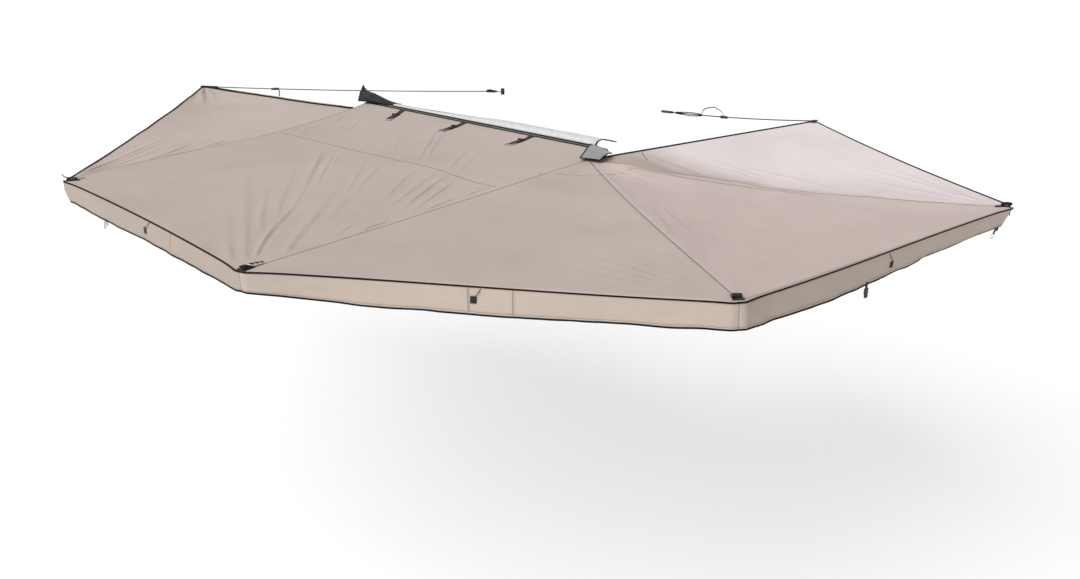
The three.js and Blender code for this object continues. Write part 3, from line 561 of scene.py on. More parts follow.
def powder_coat(name, colour, roughness):
    """Powder-coated metal: fine orange peel, dust in patches, and chips that show bare metal."""
    n = Nodes(name, Roughness=roughness, Specular_IOR_Level=0.45)
    peel, dust = n.spots(480.0, 3, 0.5), n.spots(14.0, 5, 0.62, 0.5)
    chips = n.range(n.spots(95.0, 6, 0.8, 0.3), 0.0, 1.0, 0.71, 0.73)
    look = n.ramp(dust, [(0.35, shade(colour, 0.8)), (0.62, colour), (0.85, shade(colour, 1.9))])
    n.link(n.math("MULTIPLY", chips, 0.8), "Metallic")
    rough = n.range(dust, roughness - 0.06, roughness + 0.14, 0.35, 0.8)
    return n.finished(n.blend(chips, look, (0.32, 0.32, 0.33)), rough, n.bump(peel, 0.00016, 0.6))


def zinc(name, colour, roughness=0.34):
    """Zinc-plated steel: a spangled, slightly uneven plating with rubbed places and a little tarnish."""
    n = Nodes(name, Metallic=1.0, Roughness=roughness)
    spangle = n.add("ShaderNodeTexVoronoi", {"Vector": n.placed("Object"), "Scale": 420.0}).outputs["Color"]
    grey = n.add("ShaderNodeRGBToBW", {"Color": spangle}).outputs["Val"]
    patch = n.spots(60.0, 4, 0.6, 0.4)
    look = n.ramp(grey, [(0.2, shade(colour, 0.82)), (0.8, shade(colour, 1.08))])
    look = n.blend(n.range(patch, 0.0, 0.5, 0.52, 0.8), look, shade((0.42, 0.36, 0.27), 0.9))
    rough = n.range(patch, roughness - 0.1, roughness + 0.2, 0.3, 0.75)
    return n.finished(look, rough, n.bump(patch, 0.0003, 0.3))


def moulding(name, colour, roughness=0.42):
    """Moulded nylon: a fine spark texture, flow marks, scuffed lighter where it is rubbed."""
    n = Nodes(name, Roughness=roughness, Specular_IOR_Level=0.5)
    flow = n.spots(20.0, 4, 0.55, 1.0, (1, 3, 1))
    grain, scuff = n.spots(1100.0, 3, 0.6), n.spots(70.0, 6, 0.75, 0.5)
    look = n.ramp(flow, [(0.3, shade(colour, 0.85)), (0.75, shade(colour, 1.25))])
    look = n.blend(n.range(scuff, 0.0, 0.5, 0.6, 0.78), look, shade(colour, 3.2))
    rough = n.range(scuff, roughness - 0.06, roughness + 0.2, 0.35, 0.75)
    return n.finished(look, rough, n.bump(grain, 0.0002, 0.55))


def rubber(name, colour):
    n = Nodes(name, Roughness=0.78, Specular_IOR_Level=0.3)
    grain, dust = n.spots(700.0, 4, 0.65), n.spots(45.0, 5, 0.65, 0.6)
    look = n.ramp(dust, [(0.35, colour), (0.75, shade(colour, 2.4))])
    return n.finished(look, n.range(grain, 0.68, 0.9, 0.3, 0.7), n.bump(grain, 0.0003, 0.7))


def cord_weave(name, colour):
    """A braided cord: crossing strands that wind round it."""
    n = Nodes(name, Roughness=0.75, Sheen_Weight=0.2, Sheen_Roughness=0.5)
    strands = (n.wave(n.placed("UV", turn=turn), 260, "X", 0.3, 1.0) for turn in (0.6, -0.6))
    braid = n.math("MAXIMUM", *strands)
    fuzz = n.spots(800.0, 3, 0.6)
    look = n.ramp(braid, [(0.2, shade(colour, 0.6)), (0.8, shade(colour, 1.2))])
    look = n.blend(n.range(fuzz, 0.0, 0.3, 0.5, 0.8), look, shade(colour, 1.7))
    return n.finished(look, n.range(fuzz, 0.66, 0.86, 0.3, 0.7), n.bump(braid, 0.0004, 0.8))


CANOPY = srgb(188, 174, 166)
VALANCE = srgb(186, 171, 160)
BLACK = srgb(34, 34, 36)
# The rear wing is painted lighter than the panels, as painted light, apart from a strip beside the rear arm
# near the hub where painted shade keeps the panels' colour
WING_PAINTED_LIGHT = tuple(c * f for c, f in zip(CANOPY, (1.47, 1.57, 1.74)))
HUB_PAINTED_SHADE = tuple(c / f for c, f in zip(CANOPY, WING_PAINTED_LIGHT))
PAINTED_SHADE_FROM, PAINTED_SHADE_TO = -0.24, -0.52
looks = {
    "canopy": canvas("canopy_canvas", CANOPY),
    # Painted light: the front wing and the rear panel are lighter copies of the canopy cloth
    "canopy_front": canvas("canopy_canvas_front", shade(CANOPY, 1.08)),
    "canopy_rear": canvas("canopy_canvas_rear", (CANOPY[0] * 1.13, CANOPY[1] * 1.11, CANOPY[2] * 1.15)),
    "canopy_wing": canvas("canopy_canvas_wing", WING_PAINTED_LIGHT, painted_shade_by_hub=True),
    "valance": canvas("valance_canvas", VALANCE),
    # Painted shade: the side valance is a darker copy of the valance cloth
    "side_valance": canvas("side_valance_canvas", shade(VALANCE, 0.84)),
    # Partly painted shade: the canopy seams' dark thread rows also stand for the shadow along the seam's edge
    "seam": seam_cloth("canopy_seam", shade(CANOPY, 0.98), srgb(62, 50, 44), (0.0181,), 0.0022),
    "thin_seam": seam_cloth("canopy_thin_seam", shade(CANOPY, 0.98), srgb(70, 57, 50), (0.0149,), 0.0024),
    "hem_seam": seam_cloth(
        "valance_seam", shade(VALANCE, 0.95), srgb(120, 102, 88), (0.0040, 0.0132), 0.0012),
    "webbing": webbing("black_webbing", BLACK),
    "binding": webbing("black_binding", srgb(17, 17, 18), 0.74, 0.04, 0.16),
    "bag": coated_cloth("bag_cloth", srgb(24, 25, 29), 0.5, 0.35),
    "lining": coated_cloth("bag_lining", srgb(219, 218, 220), 0.5, 0.4),
    # The same lining cloth, darker on the rear flap
    "darker_flap_lining": coated_cloth("rear_flap_lining", srgb(152, 152, 155), 0.55, 0.3),
    "alloy": brushed("anodised_alloy", (0.62, 0.63, 0.645), 0.34, (0.02, 1, 1)),
    "cast": powder_coat("cast_alloy", srgb(44, 45, 47), 0.52),
    "coated": powder_coat("black_steel", srgb(38, 38, 40), 0.5),
    "steel": zinc("zinc_steel", (0.56, 0.57, 0.58)),
    "moulding": moulding("black_moulding", srgb(30, 31, 33)),
    "rubber": rubber("foot_rubber", srgb(30, 30, 31)),
    "cord": cord_weave("black_cord", srgb(38, 38, 41)),
}

# How soft pieces ride: attached to their arm


def gather(made, arm):
    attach(made, f"{arm}_arm")
    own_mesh(made)
    return made


def soft_piece(made, arm):
    gather(made, arm)
    return made


def declare_sheet(made):
    """Works out a piece's cloth width from its measured cut, and keeps nothing."""
    area = sum(p.area for p in made.data.polygons)
    wide, long_side = CUTS[made.name]
    wide = min(max(wide, area / long_side * 1.01), 2 * area / long_side)


# The tie-down straps: webbing held taut between the wing tips and the rack's hooks

# Each one's ends, and its slider's place by share along it
TIES = {
    "front": (FRONT_TIP, np.array([1.840, -0.770, 0.084]), 0.27),
    "rear": (REAR_TIP, np.array([0.350, -1.010, 0.084]), 0.64),
}
WEB_WIDTH, WEB_WALL, WEB_SAG = 0.025, 0.0024, 0.02


def tie_line(name):
    tip, hook, _ = TIES[name]
    start = tip + np.array([0, 0, 2 * GAP + WEB_WALL / 2])
    start = start + unit(hook - start) * MOUTH
    middle = (start + hook) / 2 - np.array([0, 0, WEB_SAG])
    t = evenly(37)[:, None]
    return start * (1 - t) ** 2 + 2 * middle * t * (1 - t) + hook * t**2


def tie_frame(line, share):
    """A place on the strap, with the ways ahead, left and up there."""
    at = share * (len(line) - 1)
    k = min(int(at), len(line) - 2)
    point = mix(line[k], line[k + 1], at - k)
    ahead = unit(line[k + 1] - line[k])
    left = unit(np.cross([0, 0, 1], ahead))
    return point, ahead, left, np.cross(ahead, left)


def tie_strap(name, line):
    strap = band(f"{name}_tie_webbing", line, WEB_WIDTH, WEB_WALL, 0.0009)
    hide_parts(f"{name}_tie_strap")
    return strap


def soft_copy(name, arm):
    """A copy of a small CAD piece, in black moulding, that rides on the same arm as the strap it sits on."""
    node = cad[name]
    made = linked(f"{name}_copy", node.data.copy())
    made.data.transform(node.matrix_world)
    made.data.materials.clear()
    made.data.materials.append(looks["moulding"])
    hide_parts(name)
    return gather(made, arm)


def finish_tie(name, strap, others):
    gather(strap, name)
    copies = [soft_copy(f"{name}_tie_{part}", name) for part in ("slider", "hook")]


def web_piece(points, width, wall, up=(0, 0, 1), count=40):
    """A short length of webbing along a smooth curve, its wide side facing up."""
    return band("web", curve_through(points, count), width, wall, wall * 0.4, up=up)


def front_tail(line):
    """Sewn webbing at the front strap's tip, and its slider's tail that hangs a little."""
    p, f, _, up = tie_frame(line, 0.002)
    sewn = [p + f * s + up * h for s, h in ((0.0, 0.0030), (0.04, 0.0036), (0.08, 0.0034), (0.115, 0.0032))]
    parts = [web_piece(sewn, 0.03, 0.003, tuple(up))]
    p, f, left, up = tie_frame(line, TIES["front"][2])
    steps = ((0.012, 0.0045), (0.026, 0.004), (0.031, -0.010), (0.031, -0.030), (0.031, -0.050))
    tail = [p + f * s + up * h for s, h in steps]
    parts.append(web_piece(tail, 0.012, 0.0022, tuple(unit(np.cross(left, unit(tail[-1] - tail[0]))))))
    return join("front_tie_tail", parts)


def rear_loop(line):
    """Doubled webbing by the rear strap's hook, and the grab loop that arches over its slider."""
    p, f, left, up = tie_frame(line, TIES["rear"][2])
    q, g, _, upq = tie_frame(line, 0.80)
    r, _, _, upr = tie_frame(line, 0.985)
    arch = [p + up * 0.006, p + f * 0.022 + up * 0.034, mix(p, q, 0.5) + up * 0.052,
            q - g * 0.012 + up * 0.036, q + up * 0.006]
    double = [q + upq * 0.005, mix(q, r, 0.35) + upr * 0.009, mix(q, r, 0.7) + upr * 0.007, r + upr * 0.0035]
    under = [q - upq * 0.004, mix(q, r, 0.4) - upr * 0.010, mix(q, r, 0.75) - upr * 0.006, r - upr * 0.004]
    return join("rear_tie_loop", [
        web_piece(arch, 0.024, 0.0022, tuple(np.cross(f, left)), 36),
        web_piece(double, 0.024, 0.0022, tuple(upr), 24),
        web_piece(under, 0.022, 0.002, tuple(upr), 24),
    ])


def front_snap(line):
    """Beyond the front hook: a folded end of webbing, a thin run and a small snap hook."""
    end = line[-1]
    _, f, _, _ = tie_frame(line, 1.0)
    away = unit(np.array([f[0], f[1], 0.0]))
    folded = [end + away * a + np.array([0, 0, h]) for a, h in ((0.004, 0.002), (0.025, 0.006), (0.056, 0.0))]
    lump = web_piece(folded, 0.022, 0.016, count=16)
    thin = web_piece([end + away * a for a in (0.050, 0.080, 0.108)], 0.018, 0.0026, count=12)
    snap = local_box((-0.011, -0.008, -0.018), (0.011, 0.008, 0.024), 0.004, looks["moulding"])
    return join("front_tie_snap", [lump, thin, place(snap, end + away * 0.116, away)])


for name, makers in (("front", (front_tail, front_snap)), ("rear", (rear_loop,))):
    line = tie_line(name)
    strap = tie_strap(name, line)
    finish_tie(name, strap, [soft_piece(make(line), name) for make in makers])

# The canopy's surface: spokes over the arms, sagging bays between, and creases


STRIP_HALF = 0.024


def strip_at(u):
    """Half the width of the flat strip over an arm, by share out from the hub."""
    return 2 * GAP + STRIP_HALF * limit(u / 0.2)


# How far each seam hangs below a straight line at its lowest, and where along it that is
SEAM_SAG = {"front": (0.0, 0.5), "side": (0.004, 0.6), "corner": (0.020, 0.42), "rear": (0.040, 0.52)}


def skewed(u, at):
    """A smooth hang from 0 through 1 at the place given, and back to 0."""
    power = math.log(0.5) / math.log(at)
    return np.sin(math.pi * limit(u) ** power) ** 1.15


def arm_spoke(name):
    turn, top, corner = arm_turn(name), arm_top(name), arm_corner(name)
    hang, lowest = SEAM_SAG[name]

    def lying(radius):
        return top + radius * math.tan(CANT) + (GAP + CLOTH) / math.cos(CANT)

    knee = lying(MOUTH + KNEE * (corner - MOUTH))

    def spoke(u, aside):
        radius = MOUTH + u * (corner - MOUTH)
        z = np.where(u > KNEE, lying(radius), knee * u / KNEE) - hang * skewed(u / KNEE, lowest)
        return np.stack([
            radius * math.cos(turn) - aside * math.sin(turn),
            radius * math.sin(turn) + aside * math.cos(turn),
            z * np.ones_like(aside),
        ], -1)

    spoke.strips = True
    return spoke


FRONT_CORNER = np.array([PLATE_END, PLATE + GAP, TRACK])


def case_spoke(u, aside):
    """The canopy's edge along the case: from the hub to the track, then along it. It has no strip aside."""
    knee = 1 / 16
    start, track = np.array([0, -MOUTH, 0]), np.array([0.070, PLATE + GAP, TRACK])
    first = mix(start, track, limit(u / knee)[..., None])
    then = mix(track, FRONT_CORNER, limit((u - knee) / (1 - knee))[..., None])
    return np.where((u < knee)[..., None], first, then)


case_spoke.strips = False


def rear_edge_spoke(u, aside):
    mouth = MOUTH / math.hypot(*REAR_TIP[:2])
    start = np.array([REAR_TIP[0] * mouth, REAR_TIP[1] * mouth, 0])
    return mix(start, REAR_TIP, u[..., None])


rear_edge_spoke.strips = False


def after(s):
    """A sag that leaves its first edge level, so that cloth lies smoothly over an arm with no seam."""
    return 6.75 * s * s * (1 - s)


def before(s):
    """The same sag the other way round, level at its last edge."""
    return 6.75 * s * (1 - s) * (1 - s)


class Bay:
    """Cloth between two spokes, with its sag, how far its outer hem hangs and how far that edge bows in."""

    def __init__(self, first, second, sag, hem, bow, profile=hump, hem_profile=hump):
        self.first, self.second, self.sag, self.hem, self.bow = first, second, sag, hem, bow
        self.profile, self.hem_profile = profile, hem_profile

    def open(self, u, s):
        u, s = np.broadcast_arrays(np.asarray(u, float), np.asarray(s, float))
        point = mix(self.first(u, strip_at(u)), self.second(u, -strip_at(u)), s[..., None])
        away = np.maximum(np.hypot(point[..., 0], point[..., 1]), 1e-4)
        drawn = 1 - self.bow * hump(s) * u**2 / away
        dip = self.profile(s) * self.sag * np.sin(math.pi * u) + self.hem_profile(s) * self.hem * u**2
        out = point.copy()
        out[..., 0] *= drawn
        out[..., 1] *= drawn
        out[..., 2] -= dip
        return out

    def grid(self, rows, columns):
        """Rows from the hub out, columns across: the flat strip over each arm, and open cloth between."""
        u = evenly(rows)[:, None]
        parts = []
        if self.first.strips:
            t = evenly(3)[None, :-1]
            parts.append(mix(self.first(u + 0 * t, 0 * u * t), self.open(u, 0 * t), t[..., None]))
        parts.append(self.open(u, evenly(columns)[None, :]))
        if self.second.strips:
            t = evenly(3)[None, 1:]
            parts.append(mix(self.open(u, 1 + 0 * t), self.second(u + 0 * t, 0 * u * t), t[..., None]))
        return np.concatenate(parts, axis=1)


SPOKES = {name: arm_spoke(name) for name in ORDER}
case_bay = Bay(case_spoke, SPOKES["front"], 0.020, 0.038, 0.0, before, before)
side_bay = Bay(SPOKES["front"], SPOKES["side"], 0.016, -0.004, 0.014, after)
corner_bay = Bay(SPOKES["side"], SPOKES["corner"], 0.016, 0.008, 0.014, hump, after)
rear_bay = Bay(SPOKES["corner"], SPOKES["rear"], 0.016, 0.012, 0.014, before, before)
wing_bay = Bay(SPOKES["rear"], rear_edge_spoke, 0.020, 0.008, 0.014, before)
CORNER = {name: SPOKES[name](np.array(1.0), np.array(0.0)) for name in ORDER}

# How far from the track the front wing leaves the side panel, by share, and how much its outer edge bows in
WING_FROM = 0.068
WING_BOW = 0.029
wing_run = unit((FRONT_TIP - CORNER["front"])[:2])
WING_OUT = np.array([-wing_run[1], wing_run[0]])


def front_wing(u, v):
    """From the seam at the case bay's end to the front tip."""
    u, v = np.broadcast_arrays(np.asarray(u, float), np.asarray(v, float))
    from_track = mix(WING_FROM, 1.0, v)
    drawn = 0.012 * hump(u) * (1 - v)
    start = case_bay.open(np.ones_like(u), from_track + drawn)
    run = np.hypot(FRONT_TIP[0] - start[..., 0], FRONT_TIP[1] - start[..., 1])
    near, far = 0.0006 / run, 1 - MOUTH / run
    point = mix(start, FRONT_TIP, (near + u * (far - near))[..., None])
    point[..., 2] -= 0.024 * hump(u) * hump(v)
    inward = WING_BOW * hump(u) * v**3
    point[..., :2] -= inward[..., None] * WING_OUT
    return point


def fan(x, y, centre, toward, spread, count, reach, height, seed, start):
    """Tension folds that fan out from a corner: strongest a little way off, gone at their reach."""
    dx, dy = x - centre[0], y - centre[1]
    r = np.hypot(dx, dy)
    turn = np.angle(np.exp(1j * (np.arctan2(dy, dx) - math.radians(toward))))
    t = turn / math.radians(spread)
    rim = limit(1 - t * t) ** 1.5
    s = limit(r / reach)
    fall = (s + start) ** 0.7 * (1 - s) ** 1.4 * 1.9
    wobble = noise(t * 2 + 7, r * 1.7 + seed, 1.0, seed) * 0.9 + noise(t * 5, r * 3 + 3, 1.0, seed + 9) * 0.35
    wave = np.sin(count * math.pi * t + wobble + seed)
    return height * rim * fall * wave * (0.7 + 0.3 * noise(t * 3, r, 0.6, seed + 4))


LIT_SIDE = np.array([-0.14, 0.99])


def crease(x, y, path, width, slope, kind):
    """One fold, by the line in plan that its shaded flank draws: steep there, shallow on the lit side.

    A corner fold starts sharp and dies away along its line. A free fold fades at both ends. It gives
    the height and, from 0 to 1, how much shade is painted along the fold's line.
    """
    path = curve_through([(*p, 0) for p in path], 12)[:, :2]
    runs = np.diff(path, axis=0)
    longs = np.hypot(runs[:, 0], runs[:, 1])
    before_it = np.concatenate([[0], np.cumsum(longs)])
    near = np.full(np.shape(x), 1e9)
    off = np.zeros(np.shape(x))
    along = np.zeros(np.shape(x))
    for k, (run, long) in enumerate(zip(runs, longs)):
        dx, dy = x - path[k, 0], y - path[k, 1]
        held = limit((dx * run[0] + dy * run[1]) / long**2)
        away = np.hypot(dx - held * run[0], dy - held * run[1])
        side = (dy * run[0] - dx * run[1]) / long
        closer = away < near
        near = np.where(closer, away, near)
        off = np.where(closer, np.where(side < 0, -away, away), off)
        along = np.where(closer, (before_it[k] + held * long) / before_it[-1], along)
    whole = path[-1] - path[0]
    if whole[0] * LIT_SIDE[1] - whole[1] * LIT_SIDE[0] < 0:
        off = -off
    if kind == "ridge":
        taper = limit(along / 0.10) * limit((1 - along) / 0.15)
        flank = width * np.ones_like(along)
    elif kind == "corner":
        taper = limit(along / 0.07) ** 0.8 * limit((1 - along) / 0.75) ** 0.9
        flank = width * (0.45 + 0.55 * limit(along / 0.45) ** 0.7)
    else:
        taper = limit(hump(along)) ** 0.7
        flank = width * (0.6 + 0.4 * taper)
    seed = int(abs(path[0, 0] * 1000 + path[0, 1] * 377)) % 97
    off = off + 0.3 * width * noise(along * 5.0, 0 * along, 1.0, seed) * limit(hump(along) * 2)
    uneven = 1 + 0.25 * noise(along * 7.0, 0 * along, 1.0, seed + 1)
    # The dust here is painted shade: a dark line painted along the fold, strongest where the fold is steepest
    dust = np.exp(-((off / (FOLD_SHADE_SPREAD * width)) ** 2)) * taper * uneven * min(1.0, slope * FOLD_SHADE_STRENGTH[kind])
    off = off - 0.7 * flank
    flank = np.where(off > 0, flank * LIT_FLANK[kind], flank)
    crest = np.exp(-((off / flank) ** 2))
    trough = np.exp(-(((np.abs(off) - 2.1 * flank) / (1.2 * flank)) ** 2))
    height = FOLD_LIFT[kind] * slope * width / STEEPEST * taper * uneven * (crest - 0.2 * trough)
    return height, dust


# By kind of fold: how much longer its lit flank is than its shaded one, how high it is and how much shade is
# painted along it
LIT_FLANK = {"corner": 1.5, "free": 1.7, "ridge": 2.4}
FOLD_LIFT = {"corner": 1.7, "free": 1.5, "ridge": 1.0}
FOLD_SHADE_STRENGTH = {"corner": 2.6, "free": 3.0, "ridge": 7.0}
# The painted shade line's width by the fold's, the steepest slope of a crest one high and wide, and a fold's
# reach
FOLD_SHADE_SPREAD = 0.5
STEEPEST = 0.858
FOLD_REACH = 0.15

# Folds in plan: three or four points, the shaded flank's width and how steep it is
CORNER_FOLDS = [
    # From the side arm's corner up across the side panel
    ([(-0.52, 2.19), (0.11, 1.87), (1.11, 1.34)], 0.022, 0.06),
    ([(-0.49, 2.23), (-0.21, 2.10), (0.22, 1.90)], 0.018, 0.06),
    ([(-0.49, 2.14), (-0.25, 1.96), (0.09, 1.67), (0.38, 1.44)], 0.011, 0.24),
    ([(-0.53, 2.04), (-0.01, 1.59), (0.54, 1.09)], 0.018, 0.09),
    # From the front arm's corner over the front wing
    ([(1.21, 2.19), (1.54, 1.85), (2.11, 1.32)], 0.012, 0.26),
    ([(1.22, 2.15), (1.56, 1.79), (1.98, 1.40)], 0.011, 0.20),
    ([(1.25, 2.11), (1.44, 1.86), (1.78, 1.50)], 0.010, 0.18),
    ([(1.24, 2.17), (1.60, 1.93), (2.15, 1.55)], 0.012, 0.16),
    ([(1.26, 2.18), (1.68, 1.97), (2.30, 1.60)], 0.011, 0.12),
    # The front tip's gathered cloth
    ([(3.67, 0.40), (3.30, 0.57), (3.05, 0.68)], 0.020, 0.30),
    ([(3.63, 0.38), (3.46, 0.43), (3.25, 0.51)], 0.018, 0.10),
    ([(3.60, 0.47), (3.35, 0.62), (3.03, 0.80)], 0.018, 0.08),
    # From the rear arm's corner
    ([(-1.72, -0.89), (-1.17, -0.88), (-0.90, -0.90)], 0.014, 0.11),
    ([(-1.71, -0.91), (-1.19, -1.01), (-0.84, -1.02)], 0.014, 0.14),
    ([(-1.68, -0.92), (-1.16, -1.07), (-0.91, -1.09)], 0.012, 0.12),
    ([(-1.58, -0.96), (-1.08, -1.18), (-0.95, -1.19)], 0.012, 0.07),
    ([(-1.67, -0.84), (-1.31, -0.79), (-1.05, -0.80)], 0.012, 0.10),
    ([(-1.82, -0.84), (-1.70, -0.44), (-1.66, -0.16)], 0.014, 0.10),
    ([(-1.83, -0.76), (-1.75, -0.28), (-1.73, 0.16)], 0.014, 0.07),
]
FREE_FOLDS = [
    # Across the side panel, between its two seams
    ([(0.24, 1.54), (0.65, 1.23), (1.29, 0.80)], 0.010, 0.11),
    ([(0.35, 1.40), (0.68, 1.14), (1.08, 0.86)], 0.010, 0.11),
    ([(0.40, 1.44), (0.92, 1.03), (1.24, 0.80)], 0.010, 0.09),
    ([(-0.28, 2.00), (0.10, 1.80), (0.47, 1.58)], 0.012, 0.08),
    ([(-0.14, 1.88), (0.25, 1.62), (0.71, 1.30)], 0.013, 0.07),
    ([(0.18, 1.35), (0.51, 1.05), (0.72, 0.88)], 0.011, 0.07),
    ([(0.09, 1.37), (0.40, 1.06), (0.55, 0.90)], 0.011, 0.07),
    ([(-0.18, 1.64), (0.01, 1.47), (0.17, 1.31)], 0.014, 0.06),
    ([(0.60, 1.17), (0.88, 0.95), (1.05, 0.80)], 0.012, 0.06),
    # Fine folds that run to the seam over the side arm
    ([(0.01, 1.25), (0.26, 0.95), (0.37, 0.77)], 0.010, 0.12),
    ([(-0.13, 1.31), (0.10, 1.01), (0.26, 0.76)], 0.010, 0.12),
    ([(-0.22, 1.32), (0.07, 0.94), (0.19, 0.74)], 0.010, 0.17),
    ([(-0.28, 1.30), (-0.05, 0.99), (0.14, 0.73)], 0.010, 0.13),
    ([(-0.31, 1.25), (-0.24, 1.10), (-0.20, 0.97)], 0.010, 0.22),
    ([(-0.21, 0.96), (-0.15, 0.83), (-0.12, 0.72)], 0.009, 0.22),
    ([(-0.11, 0.82), (-0.08, 0.76), (-0.07, 0.68)], 0.008, 0.12),
    ([(-0.45, 1.69), (-0.38, 1.55), (-0.34, 1.45)], 0.010, 0.24),
    ([(-0.41, 1.74), (-0.30, 1.61), (-0.26, 1.53)], 0.010, 0.10),
    # Between the cross seam and the track
    ([(0.58, 0.66), (1.00, 0.29), (1.30, 0.03)], 0.011, 0.13),
    ([(0.57, 0.60), (0.91, 0.32), (1.15, 0.09)], 0.011, 0.11),
    ([(0.25, 0.70), (0.49, 0.45), (0.66, 0.26)], 0.010, 0.11),
    ([(0.17, 0.70), (0.42, 0.42), (0.61, 0.21)], 0.010, 0.07),
    ([(0.74, 0.70), (1.02, 0.50), (1.25, 0.32)], 0.010, 0.07),
    ([(1.86, 0.70), (1.94, 0.62), (2.03, 0.53)], 0.009, 0.08),
    ([(1.72, 0.71), (1.86, 0.60), (1.98, 0.50)], 0.009, 0.08),
    ([(1.85, 0.43), (2.08, 0.23), (2.24, 0.06)], 0.012, 0.06),
    ([(1.61, 0.48), (1.90, 0.20), (2.09, -0.01)], 0.014, 0.06),
    # Beside the front wing's seam
    ([(1.42, 1.76), (1.57, 1.58), (1.79, 1.36)], 0.009, 0.28),
    ([(1.44, 1.70), (1.60, 1.50), (1.76, 1.34)], 0.008, 0.18),
    ([(1.47, 1.65), (1.61, 1.43), (1.66, 1.34)], 0.009, 0.13),
    ([(1.67, 1.34), (1.78, 1.17), (1.83, 1.08)], 0.010, 0.22),
    ([(1.81, 1.08), (1.98, 0.86), (2.06, 0.77)], 0.009, 0.12),
    ([(1.70, 1.08), (1.81, 0.89), (1.88, 0.80)], 0.009, 0.12),
    ([(3.36, 0.38), (3.02, 0.31), (2.86, 0.26)], 0.014, 0.08),
    # Beside the rear arm
    ([(-0.11, -0.32), (-0.34, -0.34), (-0.53, -0.33)], 0.020, 0.20),
    ([(-0.33, -0.56), (-0.52, -0.59), (-0.69, -0.59)], 0.014, 0.09),
    ([(-0.52, -0.62), (-0.83, -0.68), (-1.07, -0.68)], 0.013, 0.13),
    ([(-0.38, -0.49), (-0.55, -0.54), (-0.76, -0.53)], 0.012, 0.11),
    ([(-1.08, -0.65), (-1.15, -0.66), (-1.23, -0.69)], 0.010, 0.14),
    ([(-1.20, -0.52), (-1.34, -0.57), (-1.48, -0.64)], 0.010, 0.18),
    ([(-1.38, -0.44), (-1.46, -0.51), (-1.54, -0.57)], 0.010, 0.09),
    ([(-0.64, -0.15), (-0.84, -0.23), (-1.05, -0.33)], 0.010, 0.08),
    # Beside the seam over the corner arm
    ([(-0.82, 0.29), (-1.04, 0.42), (-1.25, 0.55)], 0.011, 0.09),
    ([(-0.82, 0.37), (-1.02, 0.50), (-1.20, 0.62)], 0.011, 0.09),
    ([(-0.51, 0.27), (-0.66, 0.35), (-0.84, 0.46)], 0.010, 0.07),
    ([(-0.69, 0.43), (-0.86, 0.50), (-1.02, 0.60)], 0.010, 0.08),
    # Long faint folds toward the corner arm's corner
    ([(-1.20, 1.10), (-1.48, 1.10), (-1.78, 1.09)], 0.013, 0.06),
    ([(-1.10, 1.20), (-1.42, 1.17), (-1.74, 1.11)], 0.013, 0.05),
    ([(-1.22, 1.30), (-1.50, 1.23), (-1.78, 1.14)], 0.012, 0.05),
    ([(-1.30, 1.02), (-1.56, 1.05), (-1.84, 1.07)], 0.012, 0.06),
]
# The long fold behind the rear arm, in three lengths that overlap
RIDGE_FOLDS = [
    ([(-0.04, -0.07), (-0.32, -0.15), (-0.60, -0.31), (-0.80, -0.49)], 0.030, 0.16),
    ([(-0.20, -0.05), (-0.49, -0.17), (-0.85, -0.36), (-1.12, -0.51)], 0.028, 0.15),
    ([(-0.80, -0.43), (-1.13, -0.60), (-1.49, -0.72), (-1.78, -0.84)], 0.030, 0.16),
    ([(-0.06, -0.16), (-0.30, -0.24), (-0.55, -0.34), (-0.85, -0.46)], 0.110, 0.04),
]
KINDS = {"corner": CORNER_FOLDS, "free": FREE_FOLDS, "ridge": RIDGE_FOLDS}
FOLDS = [(*fold, kind) for kind, folds in KINDS.items() for fold in folds]

# Fine fans round the measured folds, so that no corner is smooth between them. Each starts from an
# arm's corner or the hub: where it points and its spread in degrees, its count, reach, height and seed.
FANS = [
    ("side", -38, 34, 13.0, 1.7, 0.0008, 2),
    ("side", -8, 26, 7.0, 1.0, 0.0008, 5),
    ("front", -52, 24, 9.0, 1.3, 0.0010, 7),
    ("front", 200, 34, 7.0, 0.7, 0.0012, 8),
    ("rear", -8, 24, 11.0, 1.2, 0.0012, 12),
    ("rear", 70, 28, 9.0, 1.2, 0.0014, 13),
    ("corner", -30, 40, 7.0, 0.9, 0.0012, 15),
    ("side", 225, 34, 7.0, 0.8, 0.0010, 16),
    ("hub", 214, 30, 9.0, 0.8, 0.0024, 21),
    ("hub", 130, 50, 11.0, 0.5, 0.0012, 22),
]
HUB_POINT = np.zeros(3)


def relief(x, y):
    """How far the cloth stands off its smooth surface at a place in plan, and how much shade is painted there.
    """
    x, y = np.asarray(x, float), np.asarray(y, float)
    h = 0.0016 * noise(x, y, 0.31, 3) + 0.0006 * noise(x, y, 0.12, 5)
    stretch = noise(x * 0.7 + y * 0.7, (x * 0.7 - y * 0.7) * 0.22, 0.075, 11)
    h = h + 0.0010 * stretch
    for name, *form in FANS:
        h = h + fan(x, y, CORNER.get(name, HUB_POINT), *form, 0.03 if name in CORNER else 0.06)
    # Short puckers along the track, where the cloth is drawn to the case
    near = np.exp(-((y - PLATE) / 0.16) ** 2) * limit((x - 0.1) / 0.2) * limit((2.4 - x) / 0.3)
    h = h + near * 0.0016 * np.sin(x * 46 + 2.2 * noise(x, y, 0.2, 31)) * (0.6 + 0.6 * noise(x, y, 0.3, 32))
    # Each measured fold is only added near its own line
    marks = np.zeros(np.shape(x))
    for path, width, slope, kind in FOLDS:
        low, high = np.min(path, axis=0) - FOLD_REACH, np.max(path, axis=0) + FOLD_REACH
        inside = (x > low[0]) & (x < high[0]) & (y > low[1]) & (y < high[1])
        if inside.any():
            height, dust = crease(x[inside], y[inside], path, width, slope, kind)
            h[inside] += height
            marks[inside] = np.maximum(marks[inside], dust)
    return h, marks


